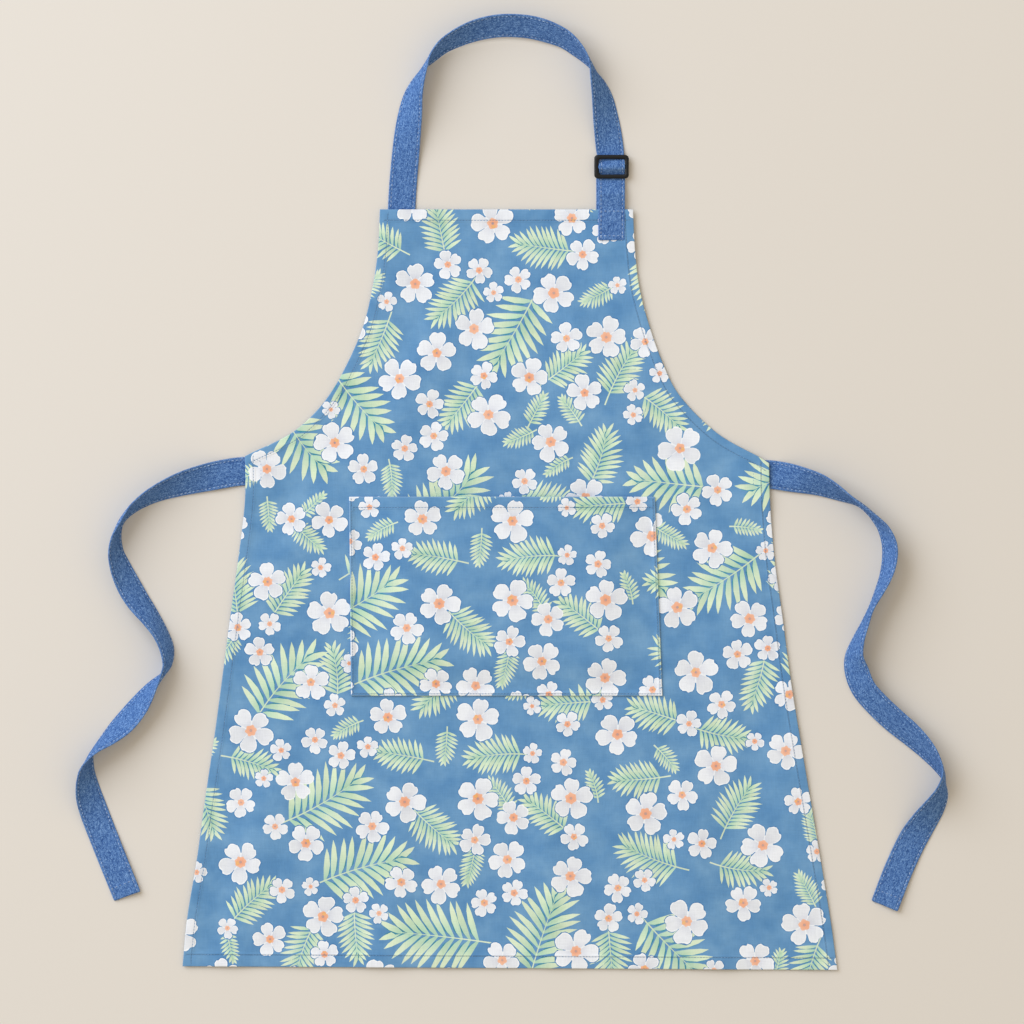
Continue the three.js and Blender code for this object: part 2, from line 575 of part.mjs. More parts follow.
const apron = new THREE.Group();
apron.add(
  piece('body_panel', bodyPanel(), CLOTH_BLUE, 0.9),
  piece('pocket', pocket(), CLOTH_BLUE, 0.9),
  piece('neck_strap', neckStrap(), DENIM_BLUE, 0.9),
  piece('buckle_tab', buckleTab(), DENIM_BLUE, 0.9),
  piece('slider_buckle', sliderBuckle(), SLIDER_BLACK, 0.4),
  piece('waist_tie_left', leftTie(), DENIM_BLUE, 0.9),
  piece('waist_tie_right', rightTie(), DENIM_BLUE, 0.9),
);

// The origin goes to the middle of the apron's base
const box = new THREE.Box3().setFromObject(apron, true);
const middle = box.getCenter(new THREE.Vector3());
apron.position.set(-middle.x, -middle.y, -box.min.z);
apron.updateMatrixWorld(true);

export default apron;
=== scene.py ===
# %% [markdown]
# # A bib apron, laid out flat
#
# A printed cotton apron lies on a pale surface and is seen from straight above. It is one cut of
# cloth with a patch pocket, a denim strap for the neck with a black plastic slider, and two denim
# ties for the waist, which have fallen in loose waves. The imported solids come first, because every
# piece of cloth made here lies in the place of one of them.

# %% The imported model
import json
import math
import random

import bmesh
import bpy
import numpy as np
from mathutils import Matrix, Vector
from mathutils.geometry import delaunay_2d_cdt

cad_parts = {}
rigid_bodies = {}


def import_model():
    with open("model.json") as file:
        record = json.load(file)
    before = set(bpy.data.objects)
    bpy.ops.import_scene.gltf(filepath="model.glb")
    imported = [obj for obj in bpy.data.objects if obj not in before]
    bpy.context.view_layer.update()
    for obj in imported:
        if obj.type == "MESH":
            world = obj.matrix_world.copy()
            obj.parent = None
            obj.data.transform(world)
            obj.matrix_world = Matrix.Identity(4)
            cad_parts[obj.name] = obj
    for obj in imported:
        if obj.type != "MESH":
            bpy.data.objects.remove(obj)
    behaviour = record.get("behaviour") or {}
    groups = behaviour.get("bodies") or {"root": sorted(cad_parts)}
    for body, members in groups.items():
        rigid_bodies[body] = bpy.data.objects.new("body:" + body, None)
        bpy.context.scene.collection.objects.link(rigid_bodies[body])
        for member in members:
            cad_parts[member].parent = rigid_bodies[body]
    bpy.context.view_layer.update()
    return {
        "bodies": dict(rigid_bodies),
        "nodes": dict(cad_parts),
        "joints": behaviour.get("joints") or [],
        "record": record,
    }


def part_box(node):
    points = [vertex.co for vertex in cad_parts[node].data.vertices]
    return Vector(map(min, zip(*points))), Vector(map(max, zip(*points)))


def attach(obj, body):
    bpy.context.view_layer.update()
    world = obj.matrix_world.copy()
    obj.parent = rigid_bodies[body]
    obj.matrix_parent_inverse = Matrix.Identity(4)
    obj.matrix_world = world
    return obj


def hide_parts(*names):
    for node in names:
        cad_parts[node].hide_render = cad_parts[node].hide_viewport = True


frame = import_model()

MM = 0.001

# %% [markdown]
# ## Camera
#
# The picture was taken from straight above through a long lens, so the outline has hardly any
# perspective in it. A camera 9 m up whose field is as wide as the picture gives the same view. The
# picture's middle lies a little below the middle of the apron.

# %% Camera
VIEW_MIDDLE = (-0.085, -21.4)
VIEW_WIDTH = 1094.7
CAMERA_HEIGHT = 9000
SENSOR_WIDTH = 36

scene = bpy.context.scene


def new_object(name, data):
    """An object for a mesh, a lamp or a camera, linked to the scene."""
    made = bpy.data.objects.new(name, data)
    scene.collection.objects.link(made)
    return made


lens = bpy.data.cameras.new("overhead_camera")
lens.sensor_width = SENSOR_WIDTH
lens.lens = SENSOR_WIDTH * CAMERA_HEIGHT / VIEW_WIDTH
camera = new_object("overhead_camera", lens)
camera.location = (VIEW_MIDDLE[0] * MM, VIEW_MIDDLE[1] * MM, CAMERA_HEIGHT * MM)
scene.camera = camera
scene.view_settings.view_transform = "Standard"
print("lens in mm:", round(lens.lens, 1))

# %% [markdown]
# ## Colours, nodes and meshes
#
# Colours are noted as the sRGB hex values that a paint program shows, and one function turns them
# into the linear numbers that Blender works with. Another adds a shader node with its settings and
# its links in one line, and a few short ones name what the materials below do again and again.

# %% Colour, node and mesh helpers
def linear(hex_colour):
    """An sRGB hex colour as linear red, green, blue and alpha."""
    parts = [int(hex_colour[at:at + 2], 16) / 255 for at in (1, 3, 5)]
    return [p / 12.92 if p <= 0.04045 else ((p + 0.055) / 1.055) ** 2.4 for p in parts] + [1.0]


def node(tree, kind, links=None, values=None, **settings):
    """A new node. links go from an input's name or number to an output, values to a constant."""
    made = tree.nodes.new(kind)
    for name, value in settings.items():
        setattr(made, name, value)
    for name, value in (values or {}).items():
        made.inputs[name].default_value = value
    for name, output in (links or {}).items():
        tree.links.new(output, made.inputs[name])
    return made


def new_material(name, roughness, specular=0.5):
    """An empty material with its shader and output, as (material, tree, shader)."""
    material = bpy.data.materials.new(name)
    material.use_nodes = True
    tree = material.node_tree
    tree.nodes.clear()
    shader = node(tree, "ShaderNodeBsdfPrincipled")
    shader.inputs["Roughness"].default_value = roughness
    shader.inputs["Specular IOR Level"].default_value = specular
    node(tree, "ShaderNodeOutputMaterial", {"Surface": shader.outputs["BSDF"]})
    return material, tree, shader


def mapped(tree, value, start, end, low=0.0, high=1.0):
    """A value's way from start to end, given out as low to high."""
    made = node(tree, "ShaderNodeMapRange", {"Value": value},
                {"From Min": start, "From Max": end, "To Min": low, "To Max": high})
    return made.outputs["Result"]


def noise(tree, place, scale=1.0, detail=2.0, roughness=0.5, distortion=0.0):
    made = node(tree, "ShaderNodeTexNoise", {"Vector": place},
                {"Scale": scale, "Detail": detail, "Roughness": roughness, "Distortion": distortion})
    return made.outputs["Fac"]


def cloth_noise(tree, wide, long, turn=0.0, **settings):
    """Noise in grains of wide by long, in mm of the flat cloth, turned by degrees."""
    place = node(tree, "ShaderNodeUVMap", uv_map="cloth_mm")
    sized = node(tree, "ShaderNodeMapping", {"Vector": place.outputs["UV"]},
                 {"Rotation": (0, 0, math.radians(turn)), "Scale": (1 / wide, 1 / long, 1)})
    return noise(tree, sized.outputs["Vector"], **settings)


def cover(tree, shader, colour, height=None, strength=0.0, distance=0.0):
    """Gives the shader its colour and, where there is a height, a fine relief."""
    tree.links.new(colour, shader.inputs["Base Color"])
    if height:
        bump = node(tree, "ShaderNodeBump", {"Height": height}, {"Strength": strength, "Distance": distance})
        tree.links.new(bump.outputs["Normal"], shader.inputs["Normal"])


def new_mesh(name, places, edges, faces, maps=()):
    """A smooth mesh from places in mm. maps are UV maps, a name and a place for each face's corner."""
    mesh = bpy.data.meshes.new(name)
    mesh.from_pydata((places * MM).tolist(), edges, faces)
    for map_name, values in maps:
        mesh.uv_layers.new(name=map_name).data.foreach_set("uv", np.array(values, np.float32).ravel())
    mesh.polygons.foreach_set("use_smooth", [True] * len(mesh.polygons))
    return mesh


# %% [markdown]
# ## The surface and the light
#
# The floor is plain and pale, and stands a hair below the cloth so that the two never share a
# plane. One big soft lamp stands at the upper left, which puts soft shadows to the right of and
# below each strap. The world fills them with a warmer light, so the shadows are brownish.

# %% Floor and light
FLOOR_COLOUR = "#E3DCD3"
FLOOR_DROP = 0.2
FLOOR_HALF = 12000
LAMP_FROM = Vector((-3.6, 2.9, 3.7))
LAMP_SIZE = 5.2
LAMP_POWER = 325
LAMP_COLOUR = "#DEECFF"
FILL_COLOUR = "#FFF3DE"
FILL_STRENGTH = 0.637

floor_material, tree, shader = new_material("matt_paper_floor", 0.95, 0.1)
shader.inputs["Base Color"].default_value = linear(FLOOR_COLOUR)
corners = np.array([(-1, -1), (1, -1), (1, 1), (-1, 1)]) * FLOOR_HALF
floor_mesh = new_mesh("floor", np.column_stack([corners, np.full(4, -FLOOR_DROP)]), [], [(0, 1, 2, 3)])
floor_mesh.materials.append(floor_material)
floor = new_object("floor", floor_mesh)

lamp_data = bpy.data.lights.new("window_lamp", "AREA")
lamp_data.shape = "SQUARE"
lamp_data.size = LAMP_SIZE
lamp_data.energy = LAMP_POWER
lamp_data.color = linear(LAMP_COLOUR)[:3]
lamp = new_object("window_lamp", lamp_data)
lamp.location = LAMP_FROM
lamp.rotation_euler = (-LAMP_FROM).to_track_quat("-Z", "Y").to_euler()

world = bpy.data.worlds.new("soft_studio")
world.use_nodes = True
background = world.node_tree.nodes["Background"]
background.inputs["Color"].default_value = linear(FILL_COLOUR)
background.inputs["Strength"].default_value = FILL_STRENGTH
scene.world = world
print("lamp at", tuple(round(v, 2) for v in LAMP_FROM))

# %% [markdown]
# ## The body's cut
#
# An apron's body is one flat cut of cloth: a narrow bib, two hollow armholes and a flared skirt.
# A short table gives its width at rows down its length, and a smooth curve through the rows makes
# the armholes. Each side is two curves, so that the waist's corners stay sharp. The table's zero is
# the middle of the bib's top edge, and the frame's box of the body says where that lies.

# %% The body's outline
BODY_LENGTH = 811
HEM_WIDTH = 700
RIGHT_DROP = 4
HALF_HEM = HEM_WIDTH / 2
OUTLINE = [  # down as a share of the length, left and right as shares of half the hem
    (0, 0.397, 0.376), (0.053, 0.403, 0.382), (0.106, 0.421, 0.397), (0.159, 0.452, 0.43),
    (0.212, 0.507, 0.476), (0.238, 0.541, 0.507), (0.264, 0.586, 0.556), (0.291, 0.653, 0.623),
    (0.304, 0.702, 0.666), (0.32, 0.782, 0.736), (0.326, 0.809, 0.763), (0.334, 0.809, 0.791),
    (0.383, 0.809, 0.794), (0.462, 0.83, 0.809), (0.541, 0.855, 0.834), (0.62, 0.879, 0.858),
    (0.7, 0.904, 0.888), (0.779, 0.931, 0.919), (0.858, 0.956, 0.95), (0.937, 0.986, 0.98),
    (1, 1, 1),
]
LEFT_CORNER_ROW = 10
RIGHT_CORNER_ROW = 11
STEPS_PER_ROW = 8
EDGE_STEP = 5

body_low, body_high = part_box("body_panel")
ZERO = np.array([body_low.x / MM + HALF_HEM, body_high.y / MM])


def smooth_way(points, steps):
    """A centripetal Catmull-Rom curve through the points, with that many steps between two."""
    rows = np.array(points, float)
    rows = np.vstack([2 * rows[0] - rows[1], rows, 2 * rows[-1] - rows[-2]])
    found = []
    for a, b, c, d in zip(rows[:-3], rows[1:-2], rows[2:-1], rows[3:]):
        before, here, after = (max(np.linalg.norm(q - p) ** 0.5, 1e-6)
                               for p, q in ((a, b), (b, c), (c, d)))
        leave = ((b - a) / before - (c - a) / (before + here) + (c - b) / here) * here
        reach = ((c - b) / here - (d - b) / (here + after) + (d - c) / after) * here
        for t in np.arange(steps) / steps:
            found.append(b + leave * t + (3 * (c - b) - 2 * leave - reach) * t ** 2
                         + (2 * (b - c) + leave + reach) * t ** 3)
    found.append(rows[-2])
    return np.array(found)


def run_along(line):
    """How far along a line each of its points lies."""
    return np.concatenate([[0], np.cumsum(np.linalg.norm(np.diff(line, axis=0), axis=1))])


def closed_line(loop):
    """A loop with its first point again at its end."""
    return np.vstack([loop, loop[:1]])


def even_steps(line, step):
    """The same line with its points about a step apart."""
    run = run_along(line)
    places = np.linspace(0, run[-1], max(2, int(round(run[-1] / step)) + 1))
    return np.stack([np.interp(places, run, line[:, axis]) for axis in range(line.shape[1])], axis=1)


def outline_point(row, side):
    """A row of the outline as a place on the flat cloth. side is -1 on the left and 1 on the right."""
    down, left, right = OUTLINE[row]
    x = (-left if side < 0 else right) * HALF_HEM
    return (x, -down * BODY_LENGTH - RIGHT_DROP * x * down / HEM_WIDTH)


def edge_line(first, last, side):
    way = smooth_way([outline_point(row, side) for row in range(first, last + 1)], STEPS_PER_ROW)
    return even_steps(way, EDGE_STEP)


LAST_ROW = len(OUTLINE) - 1
EDGES = {
    "left_arm": edge_line(0, LEFT_CORNER_ROW, -1),
    "left_side": edge_line(LEFT_CORNER_ROW, LAST_ROW, -1),
    "bottom": even_steps(np.array([outline_point(LAST_ROW, -1), outline_point(LAST_ROW, 1)]), EDGE_STEP),
    "right_side": edge_line(RIGHT_CORNER_ROW, LAST_ROW, 1)[::-1],
    "right_arm": edge_line(0, RIGHT_CORNER_ROW, 1)[::-1],
    "top": even_steps(np.array([outline_point(0, 1), outline_point(0, -1)]), EDGE_STEP),
}
body_loop = np.vstack([line[:-1] for line in EDGES.values()])


def loop_area(loop):
    x, y = loop[:, 0], loop[:, 1]
    return 0.5 * float(np.sum(x * np.roll(y, -1) - y * np.roll(x, -1)))


print("body's flat cut in m2:", round(loop_area(body_loop) * MM * MM, 4), "edge points:", len(body_loop))

# %% [markdown]
# ## How the cloth lies
#
# The cloth rests on the table and lifts in long low ripples, over the sewn strap ends and in faint
# creases from folding. A height that is worked out from the place on the cloth does all of this at
# once, so every piece that lies on the cloth can ask for the same height. Simulation would move the
# outline, which the picture fixes.

# %% Height of the cloth
CLOTH = 1.0
HEM_CLOTH = 1.5
HEM_STEP = 1.5
HEM_WIDTHS = {"left_arm": 10, "right_arm": 10, "left_side": 10, "right_side": 10, "top": 13,
              "bottom": 14}
RIPPLE_HEIGHT = 2.6
RIPPLES = [  # across, down, half length, half width, turn in degrees, share of the height
    (-0.78, 0.86, 0.2, 0.045, 78, 0.9), (-0.36, 0.93, 0.16, 0.05, 84, 1), (0.14, 0.92, 0.15, 0.055, 95, 0.8),
    (0.58, 0.9, 0.18, 0.05, 101, 1), (0.86, 0.8, 0.17, 0.035, 104, 0.7), (-0.72, 0.5, 0.16, 0.05, 70, 0.7),
    (0.74, 0.52, 0.17, 0.05, 108, 0.8), (-0.3, 0.24, 0.13, 0.05, 60, 0.8), (0.28, 0.22, 0.14, 0.05, 125, 0.8),
]
CREASES = [  # x and y of the middle, half length, half width, turn in degrees, height, all in mm
    (-96, -150, 70, 9, 68, 0.9), (70, -120, 80, 10, 112, 0.8), (4, -210, 60, 10, 84, 0.6),
    (-214, -330, 60, 8, 58, 1.0), (205, -345, 66, 8, 118, 1.0), (-236, -470, 90, 11, 76, 0.8),
    (232, -500, 90, 11, 103, 0.9), (-120, -640, 90, 10, 86, 0.7), (38, -660, 80, 11, 93, 0.8),
    (150, -700, 90, 10, 97, 0.7), (-240, -720, 80, 10, 80, 0.9), (280, -690, 70, 9, 104, 0.8),
    (-30, -60, 60, 8, 100, 0.6), (120, -250, 60, 8, 40, 0.6), (-130, -260, 60, 8, 140, 0.6),
]
SWAY_HEIGHT = 0.55
SWAY_WAVES = 26
NECK_WIDTH = 29.5
TIE_WIDTH = 30.5
STRAP_CLOTH = 1.8
STRAP_SEWN = 16
TAIL_LENGTH = 33
STRAP_INSETS = (8.5, 9)
TIES_BELOW_CORNERS = (15.5, 12.5)
NECK_LEFT_X = -OUTLINE[0][1] * HALF_HEM + STRAP_INSETS[0] + NECK_WIDTH / 2
NECK_RIGHT_X = OUTLINE[0][2] * HALF_HEM - STRAP_INSETS[1] - NECK_WIDTH / 2
LEFT_TIE_DOWN = OUTLINE[LEFT_CORNER_ROW][0] * BODY_LENGTH + TIES_BELOW_CORNERS[0]
RIGHT_TIE_DOWN = OUTLINE[RIGHT_CORNER_ROW][0] * BODY_LENGTH + TIES_BELOW_CORNERS[1]
OVER_STRAP = STRAP_CLOTH + 0.3
OVER_TAB = 2.3

rng = random.Random(11)
sway = [(rng.uniform(0, 2 * math.pi), 2 * math.pi / rng.uniform(34, 120), rng.uniform(0, 2 * math.pi))
        for _ in range(SWAY_WAVES)]


def edge_x(down, side):
    downs = [row[0] * BODY_LENGTH for row in OUTLINE]
    return side * float(np.interp(down, downs, [row[1 if side < 0 else 2] * HALF_HEM for row in OUTLINE]))


SEWN_ENDS = [  # x and y of the middle, width, length, lift
    (NECK_LEFT_X, -STRAP_SEWN / 2, NECK_WIDTH, STRAP_SEWN, OVER_STRAP),
    (NECK_RIGHT_X, -TAIL_LENGTH / 2, NECK_WIDTH, TAIL_LENGTH, OVER_TAB),
    (edge_x(LEFT_TIE_DOWN, -1), -LEFT_TIE_DOWN, 2 * STRAP_SEWN, TIE_WIDTH, OVER_STRAP),
    (edge_x(RIGHT_TIE_DOWN, 1), -RIGHT_TIE_DOWN, 2 * STRAP_SEWN, TIE_WIDTH, OVER_STRAP),
]
LIFT_MARGIN = 4
LIFT_RUN = 34
EDGE_LIFT = 1.9
EDGE_LIFT_RUN = 45
FLUTTER_RUN = (41, 53)


def smoothstep(value):
    value = np.clip(value, 0, 1)
    return value * value * (3 - 2 * value)


def unit(vectors):
    return vectors / np.maximum(np.linalg.norm(vectors, axis=-1, keepdims=True), 1e-9)


def distance_to(line, points):
    """How far each point is from a line of straight stretches."""
    nearest = np.full(len(points), np.inf)
    for start, end in zip(line[:-1], line[1:]):
        along = end - start
        share = np.clip(((points - start) @ along) / (along @ along), 0, 1)
        away = points - start - share[:, None] * along
        nearest = np.minimum(nearest, np.sqrt((away ** 2).sum(axis=1)))
    return nearest


FIELD_STEP = 6
field_low = body_loop.min(axis=0) - FIELD_STEP
field_size = np.ceil((body_loop.max(axis=0) - field_low) / FIELD_STEP).astype(int) + 2
field_x, field_y = np.meshgrid(*(np.arange(count) for count in field_size), indexing="ij")
field_places = field_low + np.stack([field_x.ravel(), field_y.ravel()], axis=1) * FIELD_STEP
edge_field = distance_to(closed_line(body_loop)[::3], field_places).reshape(field_size)


def from_free_edge(points):
    """Distance to the body's edge, read from a coarse grid because it only shapes a soft lift."""
    place = np.clip((points - field_low) / FIELD_STEP, 0, np.array(field_size) - 1.001)
    cell = place.astype(int)
    (a, b), (i, j) = (place - cell).T, cell.T
    return ((1 - a) * (1 - b) * edge_field[i, j] + a * (1 - b) * edge_field[i + 1, j]
            + (1 - a) * b * edge_field[i, j + 1] + a * b * edge_field[i + 1, j + 1])


def in_ellipse(x, y, turn, long, wide):
    """Distances from an ellipse's middle along it and aside, as shares of its half axes."""
    cos, sin = math.cos(math.radians(turn)), math.sin(math.radians(turn))
    return (x * cos + y * sin) / long, (y * cos - x * sin) / wide


def under_cloth(points):
    """Height of the body's underside above the table, in mm."""
    x, y = points[:, 0], points[:, 1]
    lift = np.zeros(len(points))
    for at_x, at_y, wide, long, high in SEWN_ENDS:
        past_x = np.maximum(0, abs(x - at_x) - wide / 2 - LIFT_MARGIN)
        past_y = np.maximum(0, abs(y - at_y) - long / 2 - LIFT_MARGIN)
        lift = np.maximum(lift, high * (1 - smoothstep(np.hypot(past_x, past_y) / LIFT_RUN)))
    for across, down, long, wide, turn, tall in RIPPLES:
        along, aside = in_ellipse(x - across * HALF_HEM, y + down * BODY_LENGTH, turn,
                                  long * BODY_LENGTH, wide * BODY_LENGTH)
        inside = np.maximum(0, 1 - along ** 2 - aside ** 2)
        lift = np.maximum(lift, tall * RIPPLE_HEIGHT * inside ** 2)
    creases = np.zeros(len(points))
    for at_x, at_y, long, wide, turn, tall in CREASES:
        along, aside = in_ellipse(x - at_x, y - at_y, turn, long, wide)
        creases += tall * np.exp(-along ** 2 * 2) * np.exp(-aside ** 2)
    waves = sum(np.sin((x * math.cos(way) + y * math.sin(way)) * wave + start) for way, wave, start in sway)
    waves = waves / math.sqrt(SWAY_WAVES / 2)
    free_edge = 1 - smoothstep(from_free_edge(points) / EDGE_LIFT_RUN)
    flutter = 0.6 + 0.4 * np.sin(x / FLUTTER_RUN[0] + 0.7) * np.sin(y / FLUTTER_RUN[1])
    return lift + creases + EDGE_LIFT * free_edge * flutter + SWAY_HEIGHT * np.clip(1 + 0.5 * waves, 0, 2)


def hem_share(points):
    """0 on the single cloth, 1 on the turned hems, with a short slope between."""
    share = np.zeros(len(points))
    for name, line in EDGES.items():
        share = np.maximum(share, 1 - smoothstep((distance_to(line, points) - HEM_WIDTHS[name]) / HEM_STEP))
    return share


def over_cloth(points):
    return under_cloth(points) + CLOTH + (HEM_CLOTH - CLOTH) * hem_share(points)


print("highest place of the cloth in mm:", round(float(over_cloth(body_loop).max()), 2))

# %% [markdown]
# ## The print's motifs
#
# The cotton is screen printed: white five-petalled blossoms and pale green fronds, laid on blue in
# flat shapes with a few tones each. They could be a shader pattern, but the crisp petals and leaflets
# would need hundreds of nodes. Here each shape is a small outline, and the cloth's own faces are cut
# along the outlines, so every edge of the print is sharp at any distance. The motifs and their places
# are drawn by rule from a fixed seed: they are common garden shapes in a layout of their own.
#
# Each part of a motif goes from one tone to another along its length or from its middle outwards.

# %% Tones of the print
GROUND = "#6A9AC6"
PARTS = {  # part: first tone, last tone, where the first one ends and the last one starts
    "ground": (GROUND, GROUND, 0, 1),
    "halo": ("#5B8CBD", "#5B8CBD", 0, 1),
    "leaf_shade": ("#4590A8", "#5E9DB9", 0.1, 1),
    "leaflet": ("#B5D9C0", "#DFEED0", 0.05, 0.7),
    "rib": ("#DCEBD0", "#CDE3C4", 0, 1),
    "petal_edge": ("#F1F5FA", "#FBFDFF", 0.3, 0.9),
    "petal": ("#DCDFEA", "#EDF0F6", 0.12, 0.6),
    "eye": ("#F5B090", "#F8C2A2", 0.3, 1),
    "eye_warm": ("#F4C27F", "#F3B482", 0.2, 1),
    "eye_dot": ("#8D92AB", "#CCA79C", 0, 1),
}
PART_NAMES = list(PARTS)
ROUND_PARTS = ("halo", "petal_edge", "eye", "eye_warm", "eye_dot")


def add_shape(shapes, part, loop, at, way, size, tint):
    """One more shape, laid over those before it, as a row of outline, part, frame and tint."""
    loop = np.asarray(loop)
    loop = loop[::-1] if loop_area(loop) < 0 else loop
    shapes.append((loop, PART_NAMES.index(part), (at[0], at[1], way[0], way[1], size), tint))


def shapes_within(shapes, shift, low, high):
    """The shapes that reach into a box once they are moved."""
    found = []
    for loop, part, (x, y, *frame), tint in shapes:
        loop = loop + shift
        if (loop.max(axis=0) > low).all() and (loop.min(axis=0) < high).all():
            found.append((loop, part, (x + shift[0], y + shift[1], *frame), tint))
    return found


def turned(points, at, way, size):
    """Points drawn along +X, put at a place, along a direction, at a size."""
    points = np.asarray(points, float) * size
    along, aside = np.array(way), np.array([-way[1], way[0]])
    return np.asarray(at) + points[:, :1] * along + points[:, 1:] * aside


def heading(angle):
    return np.array([math.cos(angle), math.sin(angle)])


def circle(count):
    return [(math.cos(a), math.sin(a)) for a in np.arange(count) * 2 * math.pi / count]


# %% [markdown]
# A petal is narrow at the foot, broad past its middle and notched at the tip. The five petals are laid
# on one white shape that shows as their rim, and below it lies a darker halo, where the white bleeds
# into the blue. The salmon eye has a scalloped edge and a small dot, and in most big blossoms an
# amber patch. Petals keep to their fifth of the circle: outlines that cross would cost faces.

# %% A blossom
PETALS = 5
PETAL_WIDTH = 0.45
NOTCH_DEPTH = 0.1
BLOSSOM_LAYERS = (  # part, how far it grows in mm, half turn round each petal, widest share, points
    ("halo", 1.1, 1.75, 0.69, 9), ("petal_edge", 0.0, 1.98, 0.66, 15), ("petal", -0.9, 2.9, 0.62, 14),
)
MOST_INSET = 0.05
SMALL_BLOSSOM = 14
SMALL_SHARE = 0.7
EYE_SHARES = (0.23, 0.28)
PATCH_LEAST_RADIUS = 15
PATCH_CHANCE = 0.7
PATCH_OFF_MIDDLE = 0.52
PATCH_SHARE = 0.38
DOT_SHARE = 0.27


def petal_outline(rng, grow, reach, widest, count):
    """A petal of length 1, from one side of its foot round the tip to the other side."""
    skew = rng.uniform(-0.06, 0.06)
    notches = [(rng.uniform(0.6, 1.4) * NOTCH_DEPTH, rng.uniform(-0.35, 0.35)),
               (rng.uniform(0.2, 0.7) * NOTCH_DEPTH, rng.choice((-0.8, 0.8)))]
    broad = rng.uniform(0.93, 1.06)
    points = []
    for angle in np.linspace(-reach, reach, count):
        dent = sum(depth * math.exp(-((angle - place) / 0.2) ** 2) for depth, place in notches)
        x = 0.55 + (0.45 + grow) * math.cos(angle) - dent
        width = PETAL_WIDTH * broad * (0.8 + 0.28 * math.cos(angle)) + grow
        points.append((x, float(np.clip(width * math.sin(angle) + skew * x, -widest * x, widest * x))))
    return points


def add_blossom(shapes, at, radius, turn, rng):
    ways = [heading(turn + 2 * math.pi * petal / PETALS + rng.uniform(-0.04, 0.04)) for petal in range(PETALS)]
    sizes = [radius * rng.uniform(0.93, 1.05) for _ in ways]
    seeds = [rng.random() for _ in ways]
    for kind, grow, reach, widest, count in BLOSSOM_LAYERS:
        count = round(count * (1 if radius > SMALL_BLOSSOM else SMALL_SHARE))
        grow = max(grow / radius, -MOST_INSET)
        petals = [turned(petal_outline(random.Random(seed), grow, reach, widest, count), at, way, size)
                  for way, size, seed in zip(ways, sizes, seeds)]
        if kind == "petal":
            for petal, way, size, seed in zip(petals, ways, sizes, seeds):
                add_shape(shapes, kind, petal, at, way, size, seed)
        else:
            add_shape(shapes, kind, np.vstack(petals), at, (1, 0), radius, seeds[0])
    eye = radius * rng.uniform(*EYE_SHARES)
    lobes = rng.choice((5, 6, 7))
    scallop = []
    for step in range(4 * lobes):
        angle = math.pi * step / (2 * lobes)
        reach = 0.92 + 0.1 * math.cos(math.pi * step / 2) + rng.uniform(-0.04, 0.04)
        scallop.append((math.cos(angle) * reach, math.sin(angle) * reach))
    layers = [("eye", scallop, at, heading(turn), eye)]
    tints = [rng.random()]
    if radius > PATCH_LEAST_RADIUS and rng.random() < PATCH_CHANCE:
        patch = at + heading(rng.uniform(0, 2 * math.pi)) * eye * PATCH_OFF_MIDDLE
        layers.append(("eye_warm", circle(8), patch, (1, 0), eye * PATCH_SHARE))
        tints.append(rng.random())
    layers.append(("eye_dot", circle(6), at, (1, 0), eye * DOT_SHARE))
    tints.append(rng.random())
    for (kind, outline, place, way, size), tint in zip(layers, tints):
        add_shape(shapes, kind, turned(outline, place, way, size), place, (1, 0), size, tint)


# %% [markdown]
# A frond is a curved rib with leaflets in pairs, longest in the middle and leaning towards the tip.
# There are three kinds, from a grand one with few broad leaflets to a fine one with narrow leaflets.
# In the two larger kinds each leaflet has a darker stroke beside it, as a brush would leave, which
# shows on the next leaflet and keeps the two apart.

# %% A frond
GRAND_FROND = {"apart": 7.8, "blade": 0.42, "broad": (0.44, 0.51), "stalk": 0.14}
BROAD_FROND = {"apart": 4.3, "blade": 0.44, "broad": (0.42, 0.5), "stalk": 0.17}
FINE_FROND = {"apart": 3.1, "blade": 0.43, "broad": (0.38, 0.44), "stalk": 0.12}
LEAST_PAIRS = 8
RIB_POINTS = 9
SWEEP = -0.16
STROKE = [(0.02, -0.3), (0.26, -1.75), (0.72, -1.4), (0.65, 0.0)]
BLADE = [(0.0, -0.3), (0.2, -0.85), (0.5, -1.0), (0.8, -0.62), (1.0, 0.0), (0.75, 0.8), (0.4, 1.0),
         (0.0, 0.3)]


